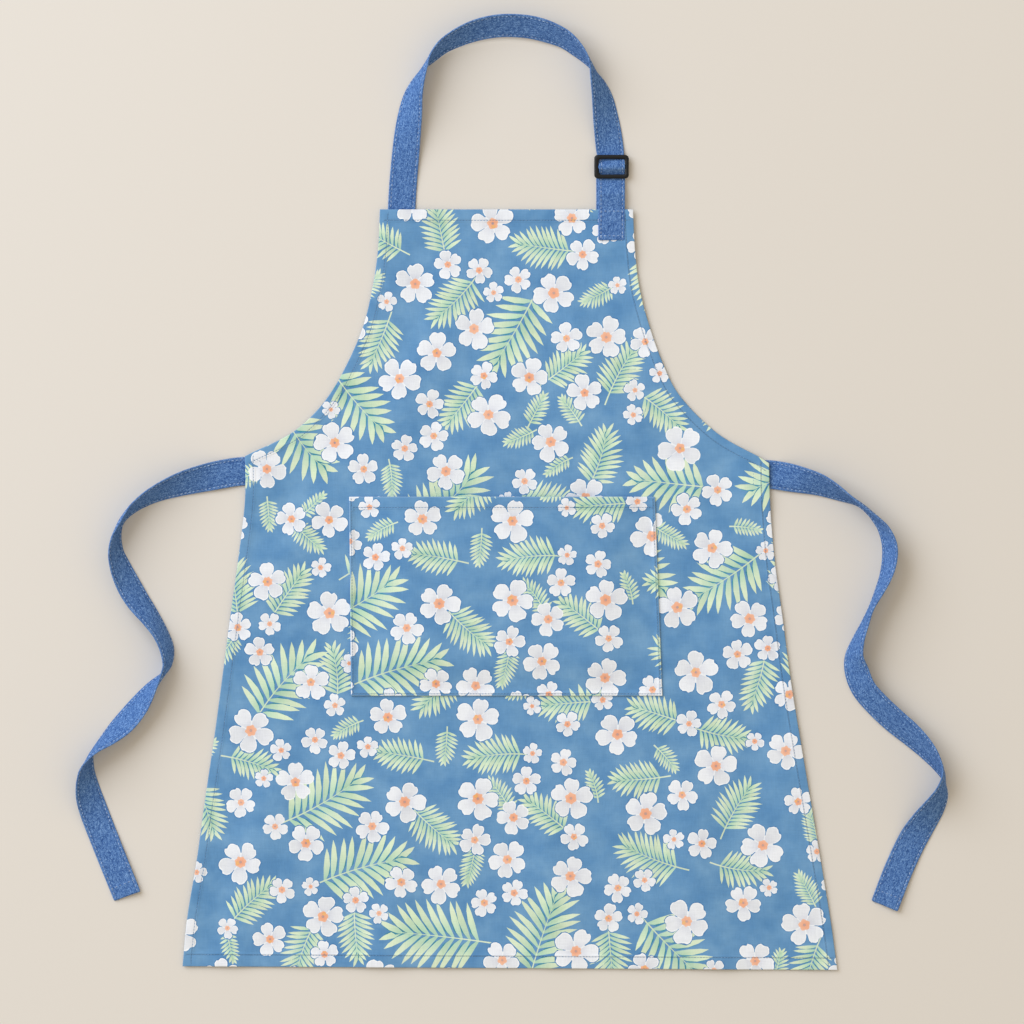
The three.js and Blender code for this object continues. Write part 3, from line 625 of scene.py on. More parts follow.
def add_frond(shapes, at, length, turn, rng, kind):
    leafy = length * (1 - kind["stalk"])
    apart = leafy / max(LEAST_PAIRS, round(leafy / kind["apart"]))
    pairs = round(leafy / apart)
    bend = rng.uniform(-0.2, 0.2)
    broad = length * rng.uniform(*kind["broad"])
    way = heading(turn)

    def on_rib(share):
        return turned([(share, bend * share * share)], at, way, length)[0]

    leaflets = []
    for pair in range(pairs):
        up = pair / (pairs - 1)
        share = kind["stalk"] + (0.98 - kind["stalk"]) * up
        slope = turn + math.atan(2 * bend * share)
        reach = broad * (0.52 + 0.5 * math.sin(math.pi * (0.24 + 0.6 * up)) - 0.1 * up)
        lean = math.radians(67 - 18 * up - 28 * up ** 4)
        for side in (-1, 1):
            angle = slope + side * lean + rng.uniform(-0.06, 0.06)
            leaflets.append((on_rib(share), heading(angle), reach * rng.uniform(0.93, 1.06), side))
    layers = [("leaf_shade", STROKE, 0.0), ("leaflet", BLADE, SWEEP)][kind is FINE_FROND:]
    for start, leaf_way, reach, side in reversed(leaflets):  # each lies over the next one towards the tip
        half = kind["blade"] * apart / reach
        for part, outline, sweep in layers:
            shape = [(x, (y * half + sweep * x * (1 - x)) * side) for x, y in outline]
            leaf = turned(shape, start, leaf_way, reach)
            add_shape(shapes, part, leaf, start, leaf_way, reach, rng.random())
    rib = np.array([on_rib(share) for share in np.linspace(-0.06, 1.02, RIB_POINTS)])
    aside = np.array([-way[1], way[0]]) * np.linspace(0.8, 0.3, RIB_POINTS)[:, None]
    add_shape(shapes, "rib", np.vstack([rib + aside, (rib - aside)[::-1]]), at, way, length, rng.random())


# %% [markdown]
# ## The print's layout
#
# A florist's scatter: big blossoms first, each as far from the others as a few tries allow, then
# smaller ones beside them or in the gaps, then fronds that grow out from under a blossom towards the
# emptiest side. The fronds are printed first and the blossoms over them.

# %% Scatter of blossoms and fronds
PRINT_LOW = np.array([-372.0, -836.0])
PRINT_HIGH = np.array([372.0, 22.0])
BLOSSOM_SIZES = [  # how many, smallest and largest radius in mm, share that stands beside another one
    (92, 19.5, 25.0, 0.3), (88, 14.0, 18.5, 0.7), (56, 10.0, 13.0, 0.6),
]
FRONDS = [(33, 74, 94, GRAND_FROND), (68, 50, 64, BROAD_FROND), (46, 28, 38, FINE_FROND)]
TRIES = 26
OVERLAP = -3.5
OVERLAP_COST = 50
ENOUGH_ROOM = 30
LEAST_ROOM = -10
BESIDE_WORTH = 8.0
FROND_HALF_WIDTH = 0.36
FROND_COVER = 0.3
SPINE_POINTS = 6
CROWD_COST = 1.1
MOST_CROWDED = 2.6
FROND_HAS_HOME = 0.7
PRINT_SEED = 7


def somewhere(rng):
    return tuple(rng.uniform(a, b) for a, b in zip(PRINT_LOW, PRINT_HIGH))


def scatter_blossoms(rng):
    """Rows of x, y, radius and turn."""
    blossoms = []
    for count, small, large, beside in BLOSSOM_SIZES:
        for _ in range(count):
            radius = rng.uniform(small, large)
            best, best_room = None, -1e9
            for _ in range(TRIES):
                spot, worth = somewhere(rng), 0.0
                if blossoms and rng.random() < beside:
                    x, y, near, _ = rng.choice(blossoms)
                    angle = rng.uniform(0, 2 * math.pi)
                    reach = near + radius + rng.uniform(-3.0, 3.0)
                    spot = (x + reach * math.cos(angle), y + reach * math.sin(angle))
                    worth = BESIDE_WORTH
                room = min((math.dist(spot, b[:2]) - radius - b[2] for b in blossoms), default=1e3)
                room = min(room - OVERLAP_COST * (room < OVERLAP), ENOUGH_ROOM) + worth
                if room > best_room:
                    best, best_room = spot, room
            if best_room > LEAST_ROOM:
                blossoms.append((*best, radius, rng.uniform(0, 2 * math.pi)))
    return blossoms


def scatter_fronds(rng, blossoms):
    """Rows of x, y, length, turn and kind."""
    centres, radii = np.array([b[:2] for b in blossoms]), np.array([b[2] for b in blossoms])
    fronds, covered = [], np.zeros((0, 3))
    for count, short, long, kind in FRONDS:
        for _ in range(count):
            best, best_cost = None, 1e9
            for _ in range(TRIES * 2):
                start, turn = np.array(somewhere(rng)), rng.uniform(0, 2 * math.pi)
                if rng.random() < FROND_HAS_HOME:
                    home = rng.randrange(len(blossoms))
                    start = centres[home] + heading(turn) * radii[home] * 0.35
                    turn += rng.uniform(-0.5, 0.5)
                length = rng.uniform(short, long)
                spine = start + heading(turn) * length * np.linspace(0.3, 1.0, SPINE_POINTS)[:, None]
                side = length * FROND_HALF_WIDTH
                hidden = radii + side * 0.25 - np.linalg.norm(spine[:, None] - centres, axis=2)
                crowd = side + covered[:, 2] - np.linalg.norm(spine[:, None] - covered[:, :2], axis=2)
                cost = np.maximum(0, hidden).sum() + CROWD_COST * np.maximum(0, crowd).sum()
                if cost < best_cost:
                    best, best_cost = (*start, length, turn, spine), cost
            if best_cost < MOST_CROWDED * best[2]:
                fronds.append((*best[:4], kind))
                radii_along = np.full(SPINE_POINTS, best[2] * FROND_COVER)
                covered = np.vstack([covered, np.column_stack([best[4], radii_along])])
    return fronds


def draw_print(seed):
    rng = random.Random(seed)
    blossoms = scatter_blossoms(rng)
    fronds = scatter_fronds(rng, blossoms)
    print("blossoms:", len(blossoms), "fronds:", len(fronds))
    shapes = []
    for x, y, length, turn, kind in fronds:
        add_frond(shapes, np.array([x, y]), length, turn, rng, kind)
    for x, y, radius, turn in blossoms:
        add_blossom(shapes, np.array([x, y]), radius, turn, rng)
    return shapes


PRINT = draw_print(PRINT_SEED)
print("shapes in the print:", len(PRINT))

# %% [markdown]
# ## Cutting cloth along its print
#
# A constrained Delaunay triangulation takes the cloth's edge, the hem lines and the motifs' outlines
# and returns triangles that keep all of them as edges. It also says which outlines each triangle
# lies in, and the last of them is the shape that shows. The same function makes the body and the
# pocket: a printed top, a plain underside and one edge loop that both share, so the sheet is closed.
# A seam sinks in along its stitches and is painted darker there as shade in its groove, and a folded edge is
# painted paler as the highlight that the rounded fold catches.

# %% Printed sheets of cloth
GRID_STEP = 8.5
UNDER_GRID_STEP = 16.0
GRID_CLEAR = 3
UNDER_GRID_CLEAR = 5
CUT_TOLERANCE = 1e-4
TINT_SPREAD = 0.12
UV_MARGIN = 8
EDGE_ROUND = 0.9
REVERSE_COLOUR = "#A9C3DC"
NEAR_STEPS = 12
SEAM_HALF = 0.95
SEAM_DIP = 0.42
# share of painted shade: a seam's groove is painted darker, standing in for the shade that falls in it
SEAM_SHADE = 0.26
# the colour of the painted highlight along a folded edge, where its rounded fold would catch the lamp
FOLD_HIGHLIGHT_COLOUR = "#D3E3F0"


def inside_loop(loop, points):
    """Which points lie inside a closed loop."""
    inside = np.zeros(len(points), bool)
    x, y = points[:, 0], points[:, 1]
    for (ax, ay), (bx, by) in zip(loop, np.roll(loop, -1, axis=0)):
        if ay != by:
            crosses = (ay > y) != (by > y)
            inside ^= crosses & (x < (bx - ax) * (y - ay) / (by - ay) + ax)
    return inside


def inset(line, distance):
    """A line moved towards its left by a distance."""
    way = np.gradient(line, axis=0)
    way /= np.linalg.norm(way, axis=1)[:, None]
    return line + np.stack([-way[:, 1], way[:, 0]], axis=1) * distance


def near_lines(lines, points, reach):
    """1 on any of the lines, falling to 0 at a distance of reach."""
    share = np.zeros(len(points))
    for line in lines:
        for first in range(0, len(line) - 1, NEAR_STEPS):
            part = line[first:first + NEAR_STEPS + 1]
            close = ((points > part.min(axis=0) - reach) & (points < part.max(axis=0) + reach)).all(axis=1)
            share[close] = np.maximum(share[close], 1 - distance_to(part, points[close]) / reach)
    return share


def grid_points(loop, step, margin, seed):
    """Scattered points on a loose grid of triangles, clear of the loop."""
    spread = np.random.default_rng(seed)
    low, high = loop.min(axis=0), loop.max(axis=0)
    rows = np.arange(low[1], high[1], step * 0.87)
    points = np.array([(x + step / 2 * (row % 2), y) for row, y in enumerate(rows)
                       for x in np.arange(low[0], high[0], step)])
    points = points + spread.uniform(-0.18, 0.18, points.shape) * step
    points = points[inside_loop(loop, points)]
    return points[distance_to(closed_line(loop), points) > margin]


def triangulate(loop, lines, shapes, loose):
    """Triangles inside the loop, as (points, triangles, the outlines that hold each triangle, the
    given points at each point). Outline 0 is the loop, and the shapes follow in their order."""
    points, edges = [], []

    def put(line):
        first = len(points)
        points.extend(Vector(p) for p in line)
        return list(range(first, len(points)))

    faces = [put(outline) for outline in (loop, *shapes)]
    for line in lines:
        ids = put(line)
        edges.extend(zip(ids[:-1], ids[1:]))
    put(loose)
    found = delaunay_2d_cdt(points, edges, faces, 0, CUT_TOLERANCE, True)
    places, _, triangles, origins, _, holders = found
    keep = [at for at, held in enumerate(holders) if 0 in held]
    places = np.array([tuple(p) for p in places])
    triangles = np.array([triangles[at] for at in keep])
    return places, triangles, [holders[at] for at in keep], origins


def rim_of(triangles):
    """The open edge of a patch of triangles as one loop of point numbers."""
    sides = {edge: True for a, b, c in triangles for edge in ((a, b), (b, c), (c, a))}
    following = {a: b for a, b in sides if (b, a) not in sides}
    start = next(iter(following))
    loop = [start]
    while following[loop[-1]] != start:
        loop.append(following[loop[-1]])
    return loop


def shade_parts(shapes, held, triangles, places):
    """The print's colour at each corner of each triangle, as rows of linear red, green and blue."""
    top = np.array([max(outlines) - 1 for outlines in held])  # -1 is the ground, the last row below
    shown = [shape[1:] for shape in shapes] + [(0, (0, 0, 1, 0, 1), 0.5)]
    parts, frames, tints = (np.repeat(np.array([row[at] for row in shown])[top], 3, axis=0) for at in range(3))
    away = places[triangles.reshape(-1)] - frames[:, :2]
    along = (away * frames[:, 2:4]).sum(axis=1)
    is_round = np.isin(parts, [PART_NAMES.index(name) for name in ROUND_PARTS])
    share = np.where(is_round, np.linalg.norm(away, axis=1), along) / frames[:, 4]
    first, last = (np.array([linear(tone[at])[:3] for tone in PARTS.values()])[parts] for at in (0, 1))
    starts, ends = (np.array([tone[at] for tone in PARTS.values()])[parts] for at in (2, 3))
    mix = smoothstep((share - starts) / (ends - starts))[:, None]
    even = (is_round | (parts == 0))[:, None]
    return (first * (1 - mix) + last * mix) * np.where(even, 1.0, 0.94 + TINT_SPREAD * tints[:, None])


def underside(rim_places, loop, grid_seed):
    """A coarser patch below, as (places, triangles, the rim's point at each place or None)."""
    loose = grid_points(loop, UNDER_GRID_STEP, UNDER_GRID_CLEAR, grid_seed)
    inner = inset(closed_line(rim_places), EDGE_ROUND)
    places, triangles, _, origins = triangulate(rim_places, [inner], [], loose)
    on_rim = [next((o for o in ids if o < len(rim_places)), None) for ids in origins]
    return places, triangles, on_rim


def sheet_maps(loop, corners, top_corners):
    """OFBake, with the printed side and a smaller reverse beside it, and cloth_mm in mm of flat cloth."""
    low, high = loop.min(axis=0), loop.max(axis=0)
    upper = (corners - low + UV_MARGIN) / (max(high - low) + 2 * UV_MARGIN)
    side = 1 - upper[:top_corners, 0].max() - 0.01
    shrink = side / (high[0] - low[0] + 2 * UV_MARGIN)
    reverse = np.column_stack([1 - side, 0]) + (corners - low + UV_MARGIN) * shrink
    on_top = np.arange(len(corners)) < top_corners
    return [("OFBake", np.where(on_top[:, None], upper, reverse)), ("cloth_mm", corners)]


def normals_by_area(mesh, places, faces):
    """Vertex normals weighted by area, so that the print's slivers don't show as specks."""
    sides = places[faces]
    facing = np.cross(sides[:, 1] - sides[:, 0], sides[:, 2] - sides[:, 0])
    normals = np.zeros_like(places)
    for corner in range(3):
        np.add.at(normals, faces[:, corner], facing)
    mesh.normals_split_custom_set_from_vertices(unit(normals))


def printed_sheet(name, loop, lines, seams, shapes, under, over, print_shift, grid_seed, fold_highlight):
    """A closed sheet of printed cloth. under and over give heights from places on the cloth. Seams
    sink into it and are painted darker as shade in their groove, and its folded edge is painted paler
    towards white as a highlight, by the given share."""
    edge = closed_line(loop)
    seam_sides = [inset(line, aside) for line in seams for aside in (-SEAM_HALF, 0, SEAM_HALF)]
    edge_lines = [inset(edge, EDGE_ROUND * share) for share in (0.3, 1.0)]
    shapes = shapes_within(shapes, print_shift, loop.min(axis=0) - 2, loop.max(axis=0) + 2)
    loose = grid_points(loop, GRID_STEP, GRID_CLEAR, grid_seed)
    places, triangles, held, _ = triangulate(loop, edge_lines + lines + seam_sides,
                                             [shape[0] for shape in shapes], loose)
    seam = near_lines(seams, places, SEAM_HALF)
    # painted highlight: the outer rim is painted paler, standing in for the light that the rounded fold catches
    painted_highlight = fold_highlight * np.clip(1 - distance_to(edge, places) / EDGE_ROUND, 0, 1)
    # painted shade: corners on a seam are darkened, standing in for the shade in its groove
    painted_highlight, dark = painted_highlight[triangles.reshape(-1), None], SEAM_SHADE * seam[triangles.reshape(-1), None]
    colours = shade_parts(shapes, held, triangles, places)
    colours = (colours * (1 - painted_highlight) + np.array(linear(FOLD_HIGHLIGHT_COLOUR)[:3]) * painted_highlight) * (1 - dark)

    rim = rim_of(triangles)
    lower_places, lower_triangles, on_rim = underside(places[rim], loop, grid_seed)
    number, count = {}, len(places)
    for at in np.unique(lower_triangles):
        if on_rim[at] is None:
            number[at] = count
            count += 1
        else:
            number[at] = rim[on_rim[at]]
    own = [at for at in number if number[at] >= len(places)]
    every = np.vstack([places, lower_places[own]])
    bottom, top = under(every), over(every)
    top[:len(places)] -= SEAM_DIP * seam
    middle = (bottom + top) / 2
    swell = np.sqrt(1 - (1 - np.minimum(distance_to(edge, every) / EDGE_ROUND, 1)) ** 2)
    is_lower = np.arange(len(every)) >= len(places)
    height = np.where(is_lower, middle - (middle - bottom) * swell, middle + (top - middle) * swell)

    lower = np.array([[number[v] for v in triangle] for triangle in lower_triangles])[:, ::-1]
    used, faces = np.unique(np.vstack([triangles, lower]), return_inverse=True)
    faces = faces.reshape(-1, 3)
    flat = every[used]
    vertices = np.column_stack([flat + ZERO, height[used]])
    maps = sheet_maps(loop, flat[faces.reshape(-1)], 3 * len(triangles))
    mesh = new_mesh(name, vertices, [], faces.tolist(), maps)
    reverse = np.tile(linear(REVERSE_COLOUR)[:3], (3 * len(lower), 1))
    rgba = np.column_stack([np.vstack([colours, reverse]), np.ones(3 * len(faces))])
    mesh.attributes.new("print_colour", "FLOAT_COLOR", "CORNER").data.foreach_set("color", rgba.ravel())
    normals_by_area(mesh, vertices, faces)
    print(name, "triangles:", len(faces), "of which printed:", len(triangles))
    return new_object(name, mesh)


# %% The body's cloth
HEM_STITCH_INSET = 1.3


def hem_line(name, distance):
    """A line that runs along one of the body's edges inside it."""
    moved = inset(EDGES[name], distance)
    return moved[inside_loop(body_loop, moved) & (distance_to(closed_line(body_loop), moved) > 2)]


hem_lines = [hem_line(name, wide + step) for name, wide in HEM_WIDTHS.items() for step in (0, HEM_STEP)]
hem_seams = [hem_line(name, wide - HEM_STITCH_INSET) for name, wide in HEM_WIDTHS.items()]
body_cloth = printed_sheet("body_cloth", body_loop, hem_lines, hem_seams, PRINT, under_cloth, over_cloth,
                           print_shift=(0, 0), grid_seed=3, fold_highlight=0.12)

# %% [markdown]
# ## The pocket
#
# The patch pocket is a second cut of the same cloth, so its flowers don't meet the body's. Its mouth
# has a turned hem and its other edges are turned under and sewn down. Between the seams its front
# stands a few millimetres off the skirt.

# %% The pocket's cloth
POCKET_TOP = 307
POCKET_HEIGHT = 213
POCKET_WIDTH = 330
POCKET_FLARE = 6
POCKET_SHIFT = -6
POCKET_LEAN = 5
POCKET_HEM = 13
POCKET_SEAM = 4
POCKET_SEAM_CLOTH = 2.1
POCKET_STITCH_INSET = 2.3
POCKET_EASE = 4.8
POCKET_SWELL = 0.2
POCKET_REST = 0.12
POCKET_PRINT_SHIFT = (37.0, 212.0)
POCKET_CORNERS = ((0, 0), (0, 1), (1, 1), (1, 0), (0, 0))
SEAM_START = 0.012


def pocket_point(side, down):
    """A place on the pocket from its share across and its share down."""
    wide = POCKET_WIDTH + POCKET_FLARE * (down - 0.5)
    return (POCKET_SHIFT + POCKET_LEAN * (down - 0.5) + (side - 0.5) * wide, -POCKET_TOP - down * POCKET_HEIGHT)


def pocket_share(points):
    """Shares across and down of places on the pocket."""
    down = (-points[:, 1] - POCKET_TOP) / POCKET_HEIGHT
    wide = POCKET_WIDTH + POCKET_FLARE * (down - 0.5)
    return (points[:, 0] - POCKET_SHIFT - POCKET_LEAN * (down - 0.5)) / wide + 0.5, down


def pocket_ease(points):
    side, down = pocket_share(points)
    from_seam = np.maximum(0, np.minimum(side, 1 - side) * POCKET_WIDTH - POCKET_SEAM) / POCKET_WIDTH
    from_foot = np.maximum(0, (1 - down) * POCKET_HEIGHT - POCKET_SEAM) / POCKET_HEIGHT
    return smoothstep(from_seam / POCKET_SWELL) * smoothstep(from_foot / POCKET_SWELL)


def under_pocket(points):
    return over_cloth(points) + POCKET_REST + POCKET_EASE * pocket_ease(points)


def over_pocket(points):
    side, down = pocket_share(points)
    from_side = np.minimum(side, 1 - side) * POCKET_WIDTH
    from_foot = (1 - down) * POCKET_HEIGHT
    seam = 1 - smoothstep((np.minimum(from_side, from_foot) - POCKET_SEAM) / HEM_STEP)
    hem = 1 - smoothstep((down * POCKET_HEIGHT - POCKET_HEM) / HEM_STEP)
    thick = CLOTH + np.maximum(seam * (POCKET_SEAM_CLOTH - CLOTH), hem * (HEM_CLOTH - CLOTH))
    return under_pocket(points) + thick


def pocket_line(*shares):
    return even_steps(np.array([pocket_point(*share) for share in shares]), EDGE_STEP)


def pocket_sides(corners):
    return [pocket_line(a, b) for a, b in zip(corners, corners[1:])]


pocket_loop = np.vstack([line[:-1] for line in pocket_sides(POCKET_CORNERS)])
side, foot = (POCKET_SEAM + HEM_STEP) / POCKET_WIDTH, 1 - (POCKET_SEAM + HEM_STEP) / POCKET_HEIGHT
pocket_lines = [pocket_line((side, 0.005), (side, foot), (1 - side, foot), (1 - side, 0.005))]
pocket_lines += [pocket_line((0.004, down / POCKET_HEIGHT), (0.996, down / POCKET_HEIGHT))
                 for down in (POCKET_HEM, POCKET_HEM + HEM_STEP)]
side, foot = POCKET_STITCH_INSET / POCKET_WIDTH, 1 - POCKET_STITCH_INSET / POCKET_HEIGHT
mouth = (POCKET_HEM - HEM_STITCH_INSET) / POCKET_HEIGHT
pocket_seams = pocket_sides([(side, SEAM_START), (side, foot), (1 - side, foot), (1 - side, SEAM_START)])
pocket_seams += pocket_sides([(SEAM_START, mouth), (1 - SEAM_START, mouth)])
# the pocket's folded edges get a stronger painted highlight than the body's
pocket_cloth = printed_sheet("pocket_cloth", pocket_loop, pocket_lines, pocket_seams, PRINT, under_pocket,
                             over_pocket, print_shift=POCKET_PRINT_SHIFT, grid_seed=5, fold_highlight=0.42)

# %% [markdown]
# ## Denim bands
#
# The straps are bands of two denim layers, sewn along both edges. A band is a rectangle that follows
# a route, turns about it and cups across its width, and where it turns on edge it stands up. Each
# route is a table of places with the turn and the cup. The band's lowest edge rests on the floor,
# except where it spans a few millimetres above it from one bend on edge to the next. Cloth simulation
# would let the loops relax away from the picture, so the tables hold them. The section has rounded
# edges and a groove where the stitches pull the layers together.

# %% Routes of the straps
NECK_RISE = 196.3
SLIDER_ABOVE_BIB = 45.5
SLIDER_WINDOW = 16.4
SLIDER_BAR = 4.5
SLIDER_SIDE = 2.6
SLIDER_THICK = 3.2
BAR_MIDDLE = 4.8
FRAME_BOTTOM = 4.4
GAP = 0.3
WINDOW_PINCH = 1.7
TAIL_PINCH = 1.0
TAIL_SHIFT = 0.8
TAIL_BOW = 1.6
WINDOW_SHIFT = 1.2
BAR_TURN = (4.5, 3.7)
BAR_TURN_DEGREES = [37, 54, 72, 90, 108, 126, 143]
ARCH_SPAN, LEG_SPAN, TIE_SPAN = 6.0, 1.4, 2.4
NECK_ROUTE = [  # across, up, roll, curl
    (0, 0, 0, 0), (0.006, 0.128, 0, 0), (0.018, 0.29, -6, 4), (0.029, 0.421, -18, 8), (0.041, 0.529, -31, 14),
    (0.052, 0.616, -47, 24), (0.067, 0.681, -60, 36), (0.088, 0.741, -74, 46), (0.112, 0.79, -90, 50),
    (0.143, 0.836, -106, 44), (0.191, 0.888, -117, 32), (0.257, 0.931, -127, 22), (0.353, 0.974, -137, 14),
    (0.448, 0.996, -142, 10), (0.52, 1, -143, 10), (0.615, 0.991, -143, 10), (0.701, 0.966, -139, 14),
    (0.782, 0.928, -129, 24), (0.839, 0.879, -119, 36), (0.882, 0.831, -106, 46), (0.913, 0.779, -90, 50),
    (0.934, 0.719, -68, 42), (0.949, 0.665, -54, 32), (0.963, 0.594, -39, 20), (0.975, 0.502, -24, 10),
    (0.987, 0.404, -9, 0), (0.996, 0.323, 0, 0),
]
LEFT_TIE_REACH, LEFT_TIE_DROP = -181, 454
LEFT_TIE_ROUTE = [  # across, down, roll, curl
    (0, 0, 0, 0), (0.06, 0.002, 0, 0), (0.148, 0.008, -4, 0), (0.266, 0.018, -20, -6), (0.385, 0.03, -36, -14),
    (0.503, 0.046, -53, -26), (0.592, 0.063, -64, -36), (0.68, 0.088, -76, -44), (0.74, 0.118, -86, -50),
    (0.769, 0.153, -74, -40), (0.766, 0.191, -60, -20), (0.74, 0.222, -47, -8), (0.686, 0.268, -34, 0),
    (0.627, 0.306, -38, 8), (0.553, 0.344, -51, 16), (0.488, 0.382, -60, 26), (0.447, 0.42, -63, 38),
    (0.444, 0.458, -76, 48), (0.479, 0.482, -92, 50), (0.547, 0.515, -117, 34), (0.624, 0.553, -136, 12),
    (0.71, 0.591, -140, -8), (0.799, 0.622, -124, -30), (0.876, 0.646, -105, -46), (0.92, 0.669, -88, -50),
    (0.941, 0.698, -64, -34), (0.941, 0.724, -48, -18), (0.923, 0.762, -25, -4), (0.893, 0.8, -8, 0),
    (0.82, 0.876, 2, 0), (0.695, 1, 7, 0),
]
RIGHT_TIE_REACH, RIGHT_TIE_DROP = 187, 461
RIGHT_TIE_ROUTE = [  # across, down, roll, curl
    (0, 0, 0, 0), (0.06, 0.003, 0, 0), (0.178, 0.012, 24, -6), (0.292, 0.023, 42, -18), (0.407, 0.042, 64, -36),
    (0.51, 0.064, 86, -44), (0.582, 0.087, 84, -44), (0.625, 0.105, 77, -40), (0.659, 0.124, 70, -34),
    (0.691, 0.161, 61, -26), (0.691, 0.198, 61, -22), (0.668, 0.235, 67, -14), (0.625, 0.272, 75, 0),
    (0.576, 0.309, 83, 14), (0.536, 0.346, 77, 24), (0.499, 0.384, 68, 24), (0.481, 0.421, 53, 16),
    (0.499, 0.458, 33, 6), (0.536, 0.495, 33, 0), (0.613, 0.532, 32, 0), (0.711, 0.569, 31, -6),
    (0.822, 0.606, 39, -16), (0.917, 0.643, 54, -34), (0.98, 0.678, 74, -48), (1, 0.701, 91, -50),
    (0.986, 0.736, 120, -30), (0.951, 0.764, 136, -14), (0.874, 0.81, 160, 0), (0.819, 0.847, 176, 0),
    (0.734, 0.921, 183, 0), (0.659, 1, 187, 0),
]


def tie_rows(route, side, top, reach, drop):
    edge = edge_x(top, side)
    rows = [(edge + across * reach, -top - down * drop, 0, roll, curl, 0) for across, down, roll, curl in route]
    return [(edge - side * STRAP_SEWN, -top, 0, 0, 0, 0), *rows]


def neck_rows():
    """The strap from behind the bib, over the arch, up over the slider's bar and down over the bib."""
    spread = NECK_RIGHT_X - NECK_LEFT_X
    loop = [(NECK_LEFT_X + across * spread, up * NECK_RISE, 0, roll, curl, 0)
            for across, up, roll, curl in NECK_ROUTE]
    turn = [(NECK_RIGHT_X + WINDOW_SHIFT, SLIDER_ABOVE_BIB + BAR_TURN[0] * math.cos(a),
             BAR_MIDDLE + BAR_TURN[1] * math.sin(a) - STRAP_CLOTH / 2, 0, 8, WINDOW_PINCH)
            for a in np.radians(BAR_TURN_DEGREES)]
    clear = SLIDER_WINDOW / 2 - 2 * GAP
    over_hem = OVER_TAB + HEM_CLOTH + GAP
    tail = NECK_RIGHT_X + TAIL_SHIFT
    below = SLIDER_ABOVE_BIB - SLIDER_WINDOW / 2 - SLIDER_BAR
    flat = [(NECK_RIGHT_X + WINDOW_SHIFT / 2, SLIDER_ABOVE_BIB + clear, OVER_TAB, 0, 0, WINDOW_PINCH), *turn,
            (NECK_RIGHT_X + WINDOW_SHIFT, SLIDER_ABOVE_BIB - clear, OVER_TAB, 0, 0, WINDOW_PINCH),
            (tail, below, OVER_TAB, 0, 0, TAIL_PINCH), (tail, below / 2, over_hem + TAIL_BOW, 0, 0, TAIL_PINCH),
            (tail, 2, over_hem, 0, 0, TAIL_PINCH), (tail, -TAIL_LENGTH / 2, over_hem, 0, 0, TAIL_PINCH),
            (tail, -TAIL_LENGTH, over_hem, 0, 0, TAIL_PINCH)]
    return [(NECK_LEFT_X, -STRAP_SEWN, 0, 0, 0, 0), *loop, *flat]


# %% Bands that follow a route
STITCH_INSET = 2.9
GROOVE_DEPTH = 0.28
END_FOLD = 14
END_FOLD_CLOTH = 0.7
BAND_STEP = 2.2
FINE_STEP = 0.7
END_ROUND = 1.4
SIDE_ROUND = 0.9
GROOVE_HALF = 0.75
FOLD_SLOPE = 1.2
FINE_FROM_END = (110, 30)
TURN_EASE = 9
HEIGHT_EASE = 13
STRIPS = 7
UNDER_SHIFT = 60.0
LIFTED_ZERO = np.array([*ZERO, 0])
FROM_EDGE = [0, 0.22, 0.9, 1.7, 2.35, STITCH_INSET, 3.5, 4.6, 7.5, 11]


def smooth_values(values, steps):
    """Values between rows on a smooth curve through them, at even steps."""
    values = np.array(values, float)
    slopes = np.gradient(values)
    found = []
    for row in range(len(values) - 1):
        t = np.arange(steps) / steps
        a, b, m, n = values[row], values[row + 1], slopes[row], slopes[row + 1]
        found.extend(a + m * t + (3 * (b - a) - 2 * m - n) * t ** 2 + (2 * (a - b) + m + n) * t ** 3)
    return np.array([*found, values[-1]])


def eased(values, steps):
    """The same values with their sharp turns rounded over that many steps."""
    window = np.hanning(steps + 2)
    return np.convolve(np.pad(values, steps // 2, mode="edge"), window[1:-1] / window.sum(), "valid")


